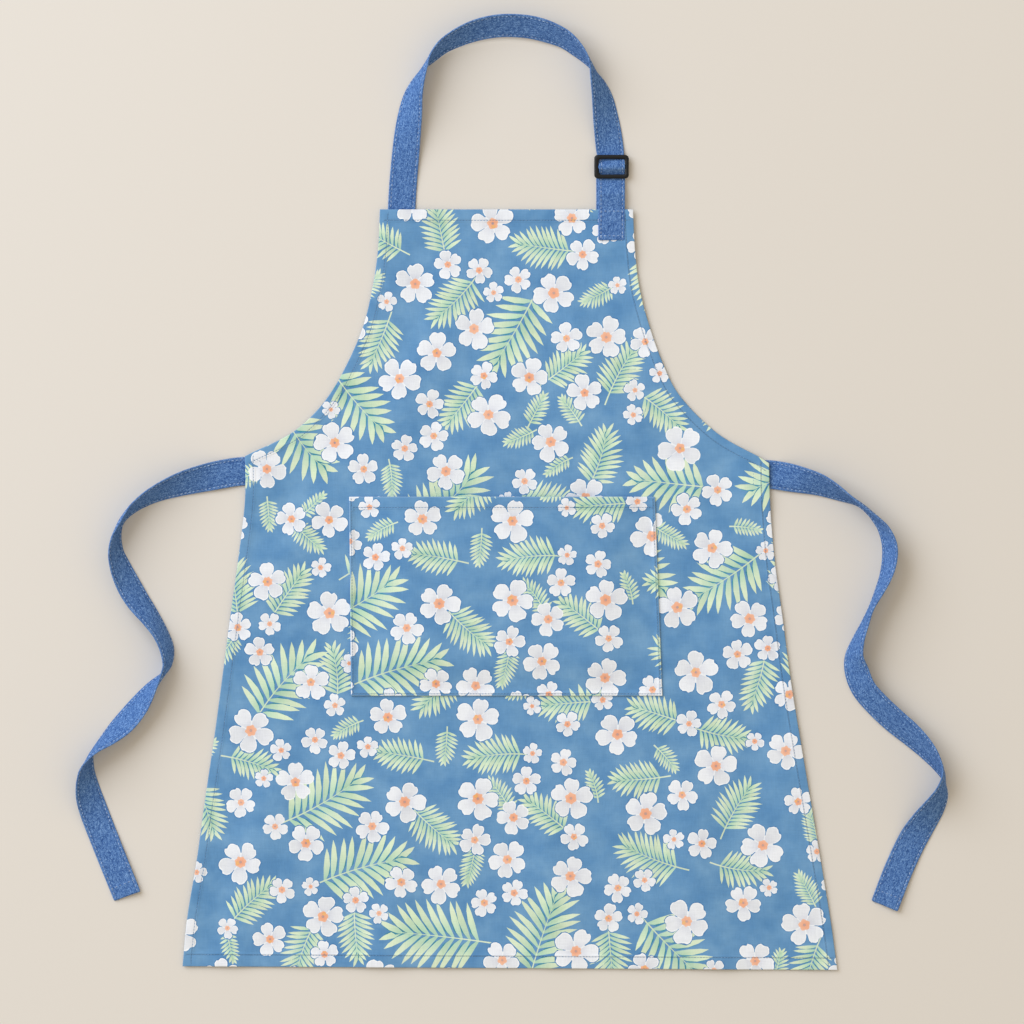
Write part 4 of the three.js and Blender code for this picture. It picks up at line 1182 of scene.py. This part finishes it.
class Band:
    """A strap's surface: at() gives places on it from steps along, distances across and a height."""

    def __init__(self, rows, width, spans, free, fine=(0, 0)):
        x_y = smooth_way([row[:2] for row in rows], STEPS_PER_ROW)
        shares = np.arange(len(x_y)) / STEPS_PER_ROW
        rise = np.interp(shares, range(len(rows)), [row[2] for row in rows])
        roll, curl, narrow = (smooth_values([row[at] for row in rows], STEPS_PER_ROW) for at in (3, 4, 5))
        roll, curl = eased(roll, TURN_EASE), eased(curl, TURN_EASE)
        flat, turned_over = (spans[at] * np.cos(np.radians(roll)) ** 2 for at in (0, 1))
        loose = smoothstep((shares - free[0]) / 2) * smoothstep((free[1] - shares) / 2)
        span = loose * np.where(np.abs(roll) < 90, flat, turned_over)
        self.width, self.fold_ends = width, ()
        self.middle = np.column_stack([x_y, np.zeros(len(x_y))])
        self.roll, self.curl, self.narrow = np.radians(roll), np.radians(curl), narrow
        # until the length is known, every step counts as far from both ends
        self.run, self.length = np.full(len(x_y), 50.0), 1e9
        for _ in range(3):
            height = rise + span - (self.lowest(9) - self.middle[:, 2])
            self.middle[:, 2] = np.maximum(height, eased(height, HEIGHT_EASE) * smoothstep(1 - rise / 0.5))
        run = run_along(self.middle)
        self.length = run[-1]
        even = np.arange(BAND_STEP, self.length - 2, BAND_STEP)
        close = even[(even < fine[0]) | (even > fine[1])]
        ends = np.array([0, 0.22, 0.6, 0.9, END_ROUND])
        places = np.concatenate([ends, close, np.arange(fine[0], fine[1], FINE_STEP), self.length - ends])
        places = np.unique(np.round(places, 3))
        self.middle = np.stack([np.interp(places, run, self.middle[:, axis]) for axis in range(3)], axis=1)
        self.roll, self.curl, self.narrow = (np.interp(places, run, values)
                                             for values in (self.roll, self.curl, self.narrow))
        self.run = places
        self.middle[:, 2] += np.maximum(0, -self.lowest(21))

    def lowest(self, count):
        """The lowest height of each step, from that many places across both faces."""
        across = np.linspace(-self.width / 2, self.width / 2, count)
        return np.minimum(*(self.at(across, face)[..., 2].min(axis=1) for face in (-1, 1)))

    def half_thickness(self, across):
        """Half the cloth's thickness, less in the grooves and at the edges and more at a folded end."""
        from_side = self.width / 2 - np.abs(across)
        from_end = np.minimum(self.run, self.length - self.run)
        groove = GROOVE_DEPTH * np.exp(-((from_side - STITCH_INSET) / GROOVE_HALF) ** 2)
        half = np.full((len(self.run), len(across)), STRAP_CLOTH / 2) - groove
        for place in self.fold_ends:
            fold = 1 - smoothstep((np.abs(self.run - place) - END_FOLD) / FOLD_SLOPE)
            half = half + fold[:, None] * END_FOLD_CLOTH / 2
        for away in (from_side[None, :], from_end[:, None]):
            share = np.clip(away / SIDE_ROUND, 0, 1)
            half = half * np.sqrt(np.maximum(1 - (1 - share) ** 2, 0.0))
        return half

    def at(self, across, face, extra=0.0):
        """Places on the upper (1) or under (-1) face, one row of places for each step along."""
        across = np.asarray(across, float)
        way = unit(np.gradient(self.middle, axis=0))
        side = unit(np.cross((0, 0, 1), way))
        up = np.cross(way, side)
        cos, sin = np.cos(self.roll)[:, None], np.sin(self.roll)[:, None]
        over, normal = side * cos + up * sin, up * cos - side * sin
        bend = np.where(np.abs(self.curl) < 1e-4, 1e-4, self.curl)[:, None]
        from_end = np.clip(np.minimum(self.run, self.length - self.run), 0, END_ROUND)
        corner = END_ROUND - np.sqrt(np.maximum(END_ROUND ** 2 - (END_ROUND - from_end) ** 2, 0))
        share = 1 - (self.narrow + 2 * corner) / self.width
        angle = bend * across[None, :] * share[:, None] / self.width
        radius = self.width / bend
        aside, sag = radius * np.sin(angle), radius * (np.cos(angle) - 1)
        outward = normal[:, None] * np.cos(angle)[..., None] + over[:, None] * np.sin(angle)[..., None]
        half = self.half_thickness(across) + extra
        return (self.middle[:, None] + over[:, None] * aside[..., None] + normal[:, None] * sag[..., None]
                + outward * (face * half)[..., None])


def skin_faces(rows, around):
    """Quads over rows of points that run round a section, and a cap at each end."""
    faces = [(row * around + at, row * around + (at + 1) % around,
              (row + 1) * around + (at + 1) % around, (row + 1) * around + at)
             for row in range(rows - 1) for at in range(around)]
    return faces + [tuple(range(around))[::-1], tuple((rows - 1) * around + at for at in range(around))]


def closed_skin(name, places, faces, maps):
    """An object from a closed skin, with its faces turned outwards."""
    mesh = new_mesh(name, places, [], faces, maps)
    shell = bmesh.new()
    shell.from_mesh(mesh)
    if shell.calc_volume(signed=True) < 0:
        bmesh.ops.reverse_faces(shell, faces=shell.faces)
        shell.to_mesh(mesh)
    shell.free()
    return new_object(name, mesh)


def band_mesh(name, band):
    """The band as a closed skin, with its flat measure as a UV map."""
    half = band.width / 2
    columns = [d - half for d in FROM_EDGE] + [0] + [half - d for d in reversed(FROM_EDGE)]
    upper, lower = band.at(columns, 1), band.at(columns, -1)
    section = np.concatenate([upper, lower[:, ::-1][:, 1:-1]], axis=1)
    measure = np.array(columns + columns[::-1][1:-1])
    rows, around = section.shape[:2]
    faces = skin_faces(rows, around)
    # OFBake lays the band out as strips side by side, and the underside's strips beside the upper ones
    per_strip = max(2, math.ceil(rows / STRIPS))
    strip_length = max(band.run[min(first + per_strip, rows - 1)] - band.run[first]
                       for first in range(0, rows - 1, per_strip))
    size = max(strip_length + 8, math.ceil((rows - 1) / per_strip) * 2 * (band.width + 4))
    uvs, bake = [], []
    for number, face in enumerate(faces):
        row, column = divmod(number, around)
        strip, under, cap = row // per_strip, column >= len(columns) - 1, row >= rows - 1
        place_x = (2 * strip + under) * (band.width + 4) + half + 2
        for at, corner in enumerate(face):
            across, along = measure[corner % around], band.run[corner // around]
            uvs.append((across + (UNDER_SHIFT if under and not cap else 0), along))
            bake.append((0.999, 0.999 - 0.001 * (at % 2)) if cap else
                        ((place_x + across) / size, (along - band.run[strip * per_strip] + 4) / size))
    piece = closed_skin(name, section.reshape(-1, 3) + LIFTED_ZERO, faces,
                        [("OFBake", bake), ("cloth_mm", uvs)])
    print(name, "length in mm:", round(band.length), "faces:", len(faces))
    return piece


def tie_band(route, side, top, reach, drop):
    rows = tie_rows(route, side, top, reach, drop)
    return Band(rows, TIE_WIDTH, (TIE_SPAN, TIE_SPAN), (1, len(route) - 3))


neck_table = neck_rows()
neck_length = sum(math.dist(a[:2], b[:2]) for a, b in zip(neck_table, neck_table[1:]))
neck_band = Band(neck_table, NECK_WIDTH, (LEG_SPAN, ARCH_SPAN), (2, len(NECK_ROUTE) - 2),
                 fine=tuple(neck_length - from_end for from_end in FINE_FROM_END))
left_band = tie_band(LEFT_TIE_ROUTE, -1, LEFT_TIE_DOWN, LEFT_TIE_REACH, LEFT_TIE_DROP)
right_band = tie_band(RIGHT_TIE_ROUTE, 1, RIGHT_TIE_DOWN, RIGHT_TIE_REACH, RIGHT_TIE_DROP)
for band in (left_band, right_band):  # the fold adds cloth on top and doesn't change how a tie lies
    band.fold_ends = (band.length,)
neck_strap_piece = band_mesh("neck_strap_band", neck_band)
left_tie_piece = band_mesh("left_waist_band", left_band)
right_tie_piece = band_mesh("right_waist_band", right_band)

# %% [markdown]
# ## The buckle's tab
#
# A short folded strip of the same denim holds the slider to the bib. Its two layers lie on each other
# behind the neck strap's tail and part only round the slider's hidden middle bar. It is one strip that
# follows that fold, so its section is drawn as a path in the plane across the strap.

# %% The folded tab
TAB_WALL = 0.95
TAB_SHIFT = -0.9
TAB_EYE = (2.8, 2.0)
TAB_LOWEST = 0.02
TAB_SECTION = ((0, 0.1), (0.2, 0.75), (0.5, 1))  # distance from the side, share of the thickness


def tab_strip():
    """The middle of the folded strip as places of y and z."""
    foot = SLIDER_ABOVE_BIB - SLIDER_WINDOW / 2 + 2 * GAP + 1
    eye = [(SLIDER_ABOVE_BIB + TAB_EYE[0] * math.cos(a), BAR_MIDDLE + TAB_EYE[1] * math.sin(a))
           for a in np.radians(np.linspace(-105, 188, 16))]
    return even_steps(np.array([(-TAIL_LENGTH, 0.5), (foot, 0.5), (foot + 3, 1.6), *eye,
                                (foot + 1.5, 2.4), (foot - 1, 1.55), (-TAIL_LENGTH, 1.52)]), 1.0)


def tab_mesh():
    path = tab_strip()
    way = unit(np.gradient(path, axis=0))
    out = np.stack([-way[:, 1], way[:, 0]], axis=1)
    away, share = zip(*TAB_SECTION)
    across = np.array([*(d - NECK_WIDTH / 2 for d in away), 0, *(NECK_WIDTH / 2 - d for d in away[::-1])])
    thin = np.array([*share, 1, *share[::-1]]) * TAB_WALL / 2
    columns = [(1, at) for at in range(len(across))] + [(-1, at) for at in reversed(range(len(across)))]
    section = np.stack([np.column_stack([np.full(len(path), across[at]), path + out * thin[at] * face])
                        for face, at in columns], axis=1)
    places = section.reshape(-1, 3) + np.array([ZERO[0] + NECK_RIGHT_X + TAB_SHIFT, ZERO[1], 0])
    places[:, 2] = np.maximum(places[:, 2], TAB_LOWEST)
    faces = skin_faces(len(path), len(columns))
    run, measure = run_along(path), across[[at for _, at in columns]]
    uv = [(measure[v % len(columns)], run[v // len(columns)]) for face in faces for v in face]
    return closed_skin("buckle_tab_strip", places, faces, [("cloth_mm", uv)])


tab_piece = tab_mesh()
print("tab strip in mm:", round(float(np.linalg.norm(np.diff(tab_strip(), axis=0), axis=1).sum())))

# %% [markdown]
# ## The slider
#
# The slider is one moulded piece of black plastic: a frame with rounded corners, and a middle bar
# that the strap and the tab hide. The frame is a full, rounded section carried round between a rounded
# rectangle outside and a smaller one inside. Its curve catches the lamp on the sides that face it and
# leaves the inner edges dark, as on a moulded loop.

# %% The slider's frame
SLIDER_ROUND = 4.0
WINDOW_ROUND = 2.4
FULLNESS = 0.8
WINDOW_WIDE = NECK_WIDTH - 1.1
FRAME_WIDE = NECK_WIDTH + 2.2 + 2 * SLIDER_SIDE
FRAME_SHIFT = 0.6
CORNER_STEPS = 8
SECTION_STEPS = 20
BAR_HALVES = (2, 1.2)


def rounded_loop(wide, tall, radius):
    """Points round a rectangle with rounded corners, the same number for every size."""
    points = []
    for quarter, (sx, sy) in enumerate(((1, 1), (-1, 1), (-1, -1), (1, -1))):
        for step in range(CORNER_STEPS + 1):
            angle = math.pi / 2 * (quarter + step / CORNER_STEPS)
            points.append((sx * (wide / 2 - radius) + radius * math.cos(angle),
                           sy * (tall / 2 - radius) + radius * math.sin(angle)))
    return np.array(points)


def slider_mesh():
    outer = rounded_loop(FRAME_WIDE, SLIDER_WINDOW + 2 * SLIDER_BAR, SLIDER_ROUND) + (FRAME_SHIFT, 0)
    inner = rounded_loop(WINDOW_WIDE, SLIDER_WINDOW, WINDOW_ROUND) + (WINDOW_SHIFT, 0)
    mould = bmesh.new()
    rings = []
    for out_point, in_point in zip(outer, inner):
        wide = np.linalg.norm(out_point - in_point)
        way = (out_point - in_point) / wide
        ring = []
        for angle in np.arange(SECTION_STEPS) * 2 * math.pi / SECTION_STEPS:
            aside, up = (math.copysign(abs(v) ** FULLNESS, v) for v in (math.cos(angle), math.sin(angle)))
            place = in_point + way * wide / 2 * (1 + aside)
            ring.append(mould.verts.new((place[0], place[1], FRAME_BOTTOM + SLIDER_THICK / 2 * (1 + up))))
        rings.append(ring)
    bar = []
    for x in (WINDOW_SHIFT - WINDOW_WIDE / 2 - 1, WINDOW_SHIFT + WINDOW_WIDE / 2 + 1):
        bar.append([mould.verts.new((x, BAR_HALVES[0] * cos, BAR_MIDDLE + BAR_HALVES[1] * sin))
                    for cos, sin in circle(SECTION_STEPS)])
    for one, other in (*zip(rings, rings[1:] + rings[:1]), bar):
        for corners in zip(one, one[1:] + one[:1], other[1:] + other[:1], other):
            mould.faces.new(corners)
    mould.faces.new(bar[0])
    mould.faces.new(bar[1][::-1])
    bmesh.ops.recalc_face_normals(mould, faces=mould.faces)
    shift = Vector((ZERO[0] + NECK_RIGHT_X, ZERO[1] + SLIDER_ABOVE_BIB, 0))
    for vertex in mould.verts:
        vertex.co = (vertex.co + shift) * MM
    for face in mould.faces:
        face.smooth = True
    mesh = bpy.data.meshes.new("slider_frame")
    mould.to_mesh(mesh)
    mould.free()
    return new_object("slider_frame", mesh)


slider_piece = slider_mesh()
print("slider faces:", len(slider_piece.data.polygons))

# %% [markdown]
# ## Stitches
#
# Every hem and both edges of every band are sewn with a running line. A stitch repeats along a path,
# which is what Geometry Nodes are for: the path's lines become a curve, the curve is divided at the
# stitch's pitch, and a small rounded thread is set on each point, turned along the path and laid on
# the cloth's surface. The tree's inputs are the sizes that a sewing machine would be set to.

# %% A tree that sews along lines
def stitch_tree():
    tree = bpy.data.node_groups.new("running_stitch", "GeometryNodeTree")
    sockets = {}
    for way in ("INPUT", "OUTPUT"):
        tree.interface.new_socket("Geometry", in_out=way, socket_type="NodeSocketGeometry")
    for name in ("Pitch", "Length", "Width", "Unevenness"):
        sockets[name] = tree.interface.new_socket(name, in_out="INPUT", socket_type="NodeSocketFloat")
    sockets["Thread"] = tree.interface.new_socket("Thread", in_out="INPUT", socket_type="NodeSocketMaterial")
    start = node(tree, "NodeGroupInput")
    curve = node(tree, "GeometryNodeMeshToCurve", {"Mesh": start.outputs["Geometry"]})
    even = node(tree, "GeometryNodeResampleCurve",
                {"Curve": curve.outputs["Curve"], "Length": start.outputs["Pitch"]}, mode="LENGTH")
    thread = node(tree, "GeometryNodeMeshUVSphere", values={"Segments": 6, "Rings": 4, "Radius": 0.5})
    size = node(tree, "ShaderNodeCombineXYZ", {
        "X": start.outputs["Length"], "Y": start.outputs["Width"], "Z": start.outputs["Width"]})
    lying = node(tree, "GeometryNodeTransform", {
        "Geometry": thread.outputs["Mesh"], "Scale": size.outputs["Vector"]})
    along = node(tree, "GeometryNodeInputTangent")
    up = node(tree, "GeometryNodeInputNamedAttribute", values={"Name": "up"}, data_type="FLOAT_VECTOR")
    ahead = node(tree, "FunctionNodeAlignRotationToVector", {"Vector": along.outputs["Tangent"]}, axis="X")
    laid = node(tree, "FunctionNodeAlignRotationToVector", {
        "Rotation": ahead.outputs["Rotation"], "Vector": up.outputs["Attribute"]}, axis="Z", pivot_axis="X")
    least = node(tree, "ShaderNodeMath", {1: start.outputs["Unevenness"]}, {0: 1.0}, operation="SUBTRACT")
    uneven = node(tree, "FunctionNodeRandomValue", {2: least.outputs["Value"]}, {3: 1.0, "Seed": 4},
                  data_type="FLOAT")
    sewn = node(tree, "GeometryNodeInstanceOnPoints", {
        "Points": even.outputs["Curve"], "Instance": lying.outputs["Geometry"],
        "Rotation": laid.outputs["Rotation"], "Scale": uneven.outputs[1]})
    real = node(tree, "GeometryNodeRealizeInstances", {"Geometry": sewn.outputs["Instances"]})
    finish = node(tree, "GeometryNodeSetMaterial", {
        "Geometry": real.outputs["Geometry"], "Material": start.outputs["Thread"]})
    node(tree, "NodeGroupOutput", {"Geometry": finish.outputs["Geometry"]})
    return tree, {name: socket.identifier for name, socket in sockets.items()}


SEWING, SEWING_INPUTS = stitch_tree()
STITCH_VERTICES = 20
UNEVENNESS = 0.3


def sew(name, lines, thread, pitch, length, width):
    """Stitches along lines, each a pair of places in mm and the directions away from the cloth."""
    places = np.vstack([line for line, _ in lines])
    places[:, 2] = np.maximum(places[:, 2], width / 2)  # under a band the table presses the thread in
    ups = np.vstack([up for _, up in lines])
    starts = np.cumsum([0] + [len(line) for line, _ in lines])
    edges = [(at, at + 1) for at in range(len(places) - 1) if at + 1 not in starts]
    mesh = new_mesh(name, places, edges, [])
    up_at = mesh.attributes.new("up", "FLOAT_VECTOR", "POINT")
    up_at.data.foreach_set("vector", ups.astype(np.float32).ravel())
    piece = new_object(name, mesh)
    sewing = piece.modifiers.new("sewing", "NODES")
    sewing.node_group = SEWING
    for key, value in (("Pitch", pitch * MM), ("Length", length * MM), ("Width", width * MM),
                       ("Unevenness", UNEVENNESS), ("Thread", thread)):
        sewing[SEWING_INPUTS[key]] = value
    sewn = bpy.data.meshes.new_from_object(piece.evaluated_get(bpy.context.evaluated_depsgraph_get()))
    piece.modifiers.remove(sewing)
    piece.data = sewn
    sewn.name = name
    sewn.polygons.foreach_set("use_smooth", [True] * len(sewn.polygons))
    print(name, "stitches:", len(sewn.vertices) // STITCH_VERTICES, "faces:", len(sewn.polygons))
    return piece


# %% [markdown]
# ## Printed cotton, denim, thread and plastic
#
# The cotton is a plain weave with a reactive print. Its threads are about 0.4 mm apart, finer than
# the picture shows, so slubs, the thicker stretches of yarn, are drawn 1.5 mm wide and 14 mm long in
# both directions. They tint the cloth a little and raise it a little. The blue took up its dye
# unevenly in patches some 30 mm across. Dry cotton is matt.

# %% Printed cotton
def printed_cotton():
    material, tree, shader = new_material("printed_cotton_poplin", 0.88, 0.22)
    tone = node(tree, "ShaderNodeAttribute", attribute_name="print_colour")
    slubs = [cloth_noise(tree, *size, roughness=0.6) for size in ((1.5, 14), (14, 1.5))]
    yarn = node(tree, "ShaderNodeMath", {0: slubs[0], 1: slubs[1]}, operation="ADD").outputs["Value"]
    tint = mapped(tree, yarn, 0.6, 1.4, 0.93, 1.06)
    woven = node(tree, "ShaderNodeVectorMath", {0: tone.outputs["Vector"], "Scale": tint}, operation="SCALE")
    depth = mapped(tree, cloth_noise(tree, 30, 30, detail=3.0), 0.3, 0.7, 0.86, 1.16)
    # a power of the colour is more or less dye: it moves the blue and hardly touches the white
    dyed = node(tree, "ShaderNodeGamma", {"Color": woven.outputs["Vector"], "Gamma": depth})
    cover(tree, shader, dyed.outputs["Color"], yarn, 0.35, 0.0002)
    return material


# %% [markdown]
# Denim is a twill: blue warp threads climb over pale weft threads, which shows as fine diagonal
# lines and pale flecks. The real lines are 0.8 mm apart. They are drawn 1.4 mm wide and 3.4 mm long,
# and bent, because washing crinkled the cloth and because finer ones don't show at this distance.
# Rubbed edges are paler, and the dye stays dark beside the stitches.

# %% Washed denim
DENIM_TONES = ("#2B4F8B", "#4F78B5", "#84AADC")
RUBBED_TONE = "#86A7D6"
SEAM_TONE = "#35568C"


def washed_denim(name, width):
    material, tree, shader = new_material(name, 0.9, 0.2)
    twill = cloth_noise(tree, 1.4, 3.4, 40, roughness=0.6, distortion=1.4)
    flecks = cloth_noise(tree, 2.2, 2.2, roughness=0.6, distortion=2.4)
    threads = node(tree, "ShaderNodeMath", {0: twill, 1: flecks}, operation="ADD").outputs["Value"]
    tones = node(tree, "ShaderNodeValToRGB", {"Fac": mapped(tree, threads, 0.78, 1.24)})
    tones.color_ramp.elements.new(0.5)
    for element, colour in zip(tones.color_ramp.elements, DENIM_TONES):
        element.color = linear(colour)
    place = node(tree, "ShaderNodeUVMap", uv_map="cloth_mm")
    parts = node(tree, "ShaderNodeSeparateXYZ", {"Vector": place.outputs["UV"]})
    # the underside's measure lies UNDER_SHIFT further on, and wraps back to the band's own width
    wrapped = node(tree, "ShaderNodeMath", {0: parts.outputs["X"]}, {1: UNDER_SHIFT / 2, 2: -UNDER_SHIFT / 2},
                   operation="WRAP")
    aside = node(tree, "ShaderNodeMath", {0: wrapped.outputs["Value"]}, operation="ABSOLUTE").outputs["Value"]
    rubbed = mapped(tree, aside, width / 2 - 2.2, width / 2 - 0.4, 0.0, 0.12)
    pale = node(tree, "ShaderNodeMix", {0: rubbed, 6: tones.outputs["Color"]}, {7: linear(RUBBED_TONE)},
                data_type="RGBA")
    from_seam = node(tree, "ShaderNodeMath", {0: aside}, {1: width / 2 - STITCH_INSET - 0.6},
                     operation="SUBTRACT")
    near = node(tree, "ShaderNodeMath", {0: from_seam.outputs["Value"]}, operation="ABSOLUTE")
    dark = mapped(tree, near.outputs["Value"], 0.0, 1.1, 0.5, 0.0)
    dyed = node(tree, "ShaderNodeMix", {0: dark, 6: pale.outputs[2]}, {7: linear(SEAM_TONE)}, data_type="RGBA")
    cover(tree, shader, dyed.outputs[2], threads, 0.8, 0.0005)
    return material


# %% [markdown]
# Sewing thread is spun polyester with a slight sheen. The slider is moulded acetal: black, smooth
# enough for a soft highlight, with the fine grain of a spark-eroded mould.

# %% Thread and plastic
def spun_thread(name, colour):
    material, tree, shader = new_material(name, 0.6)
    place = node(tree, "ShaderNodeTexCoord").outputs["Object"]
    tone = mapped(tree, noise(tree, place, 160.0, 3.0), 0.35, 0.65, 0.6, 1.12)
    mixed = node(tree, "ShaderNodeVectorMath", {"Scale": tone}, {0: linear(colour)[:3]}, operation="SCALE")
    cover(tree, shader, mixed.outputs["Vector"])
    return material


def moulded_acetal():
    material, tree, shader = new_material("black_moulded_acetal", 0.45, 0.35)
    grain = noise(tree, node(tree, "ShaderNodeTexCoord").outputs["Object"], 2200.0)
    tone = node(tree, "ShaderNodeValToRGB", {"Fac": grain})
    for element, colour in zip(tone.color_ramp.elements, ("#060708", "#101113")):
        element.color = linear(colour)
    cover(tree, shader, tone.outputs["Color"], grain, 0.15, 0.0001)
    return material


COTTON = printed_cotton()
DENIM = washed_denim("washed_denim_twill", NECK_WIDTH)
PALE_THREAD = spun_thread("pale_blue_thread", "#B6CEF0")
TONE_THREAD = spun_thread("mid_blue_thread", "#86ABD2")
for piece in (body_cloth, pocket_cloth):
    piece.data.materials.append(COTTON)
for piece in (neck_strap_piece, left_tie_piece, right_tie_piece, tab_piece):
    piece.data.materials.append(DENIM)
slider_piece.data.materials.append(moulded_acetal())
print("materials:", [material.name for material in bpy.data.materials])

# %% [markdown]
# ## Sewing it together
#
# The hems are sewn a millimetre inside the turned edge, in thread that nearly matches the blue. The
# bands are sewn in paler thread along both edges and on both faces, since a half turn shows the other
# face. A line across closes each folded end.

# %% Lines of stitches
THREAD_LIFT = 0.12
UP = np.array([0.0, 0.0, 1.0])
TIE_BOX = (15, 24)
TIE_BOX_EDGE = 2.0
TIE_BOX_START = 8
THREAD_CORE = -0.5
HEM_STITCH = (3.2, 2.4, 0.65)  # pitch, length and width
BAND_STITCH = (4.4, 3.2, 0.9)
TAIL_END_SEAM = 5.3
TIE_END_SEAM = 13.5


def on_cloth(line, height):
    """A flat line laid on the cloth, with the directions away from it."""
    places = np.column_stack([line + ZERO, height(line) + THREAD_LIFT - SEAM_DIP / 2])
    return places, np.tile(UP, (len(line), 1))


hem_stitches = [on_cloth(line, over_cloth) for line in hem_seams]
for side, down in ((-1, LEFT_TIE_DOWN), (1, RIGHT_TIE_DOWN)):
    out, deep, tall = side * (abs(edge_x(down, side)) - TIE_BOX_EDGE), TIE_BOX[0], TIE_BOX[1] / 2
    box = np.array([(out - side * TIE_BOX_START, -down + tall), (out - side * deep, -down + tall),
                    (out - side * deep, -down - tall), (out, -down - tall)])
    hem_stitches.append(on_cloth(even_steps(box, EDGE_STEP), over_cloth))
body_stitches = sew("body_hem_stitches", hem_stitches, TONE_THREAD, *HEM_STITCH)
pocket_stitches = sew("pocket_stitches", [on_cloth(line, over_pocket) for line in pocket_seams],
                      TONE_THREAD, *HEM_STITCH)


def band_lines(band, across_at):
    """Stitch lines along both edges of both faces, and across the band at some distances along it."""
    reach = band.width / 2 - STITCH_INSET
    shown = np.flatnonzero(band.run > STRAP_SEWN + 2)
    lines = []
    for face in (1, -1):
        spots = [([side * reach], (shown, 0)) for side in (-1, 1)]
        spots += [(np.linspace(-reach, reach, 9), int(np.argmin(np.abs(band.run - place))))
                  for place in across_at]
        for columns, spot in spots:
            line, core = (band.at(columns, face, lift)[spot] for lift in (THREAD_LIFT, THREAD_CORE))
            lines.append((line + LIFTED_ZERO, unit(line - core)))
    return lines


def sew_band(name, band, *across_at):
    return sew(name, band_lines(band, across_at), PALE_THREAD, *BAND_STITCH)


neck_stitches = sew_band("neck_strap_stitches", neck_band, neck_band.length - TAIL_END_SEAM,
                         neck_band.length - TAIL_LENGTH + 1)
left_stitches = sew_band("left_waist_stitches", left_band, left_band.length - TIE_END_SEAM)
right_stitches = sew_band("right_waist_stitches", right_band, right_band.length - TIE_END_SEAM)

# %% [markdown]
# ## What each piece stands for
#
# Every piece takes the place of the imported solid that it dresses and rides on the one body, because
# cloth has no joints.

# %% Places in the model
pieces = [
    (body_cloth, "body_panel", "printed_cotton"), (pocket_cloth, "pocket", "printed_cotton"),
    (neck_strap_piece, "neck_strap", "denim"), (tab_piece, "buckle_tab", "denim"),
    (slider_piece, "slider_buckle", "black_plastic"),
    (left_tie_piece, "waist_tie_left", "denim"), (right_tie_piece, "waist_tie_right", "denim"),
]
for piece, solid, finish in pieces:
    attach(piece, "root")
    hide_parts(solid)
for piece, finish in ((body_stitches, "printed_cotton"), (pocket_stitches, "printed_cotton"),
                      (neck_stitches, "denim"), (left_stitches, "denim"), (right_stitches, "denim")):
    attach(piece, "root")
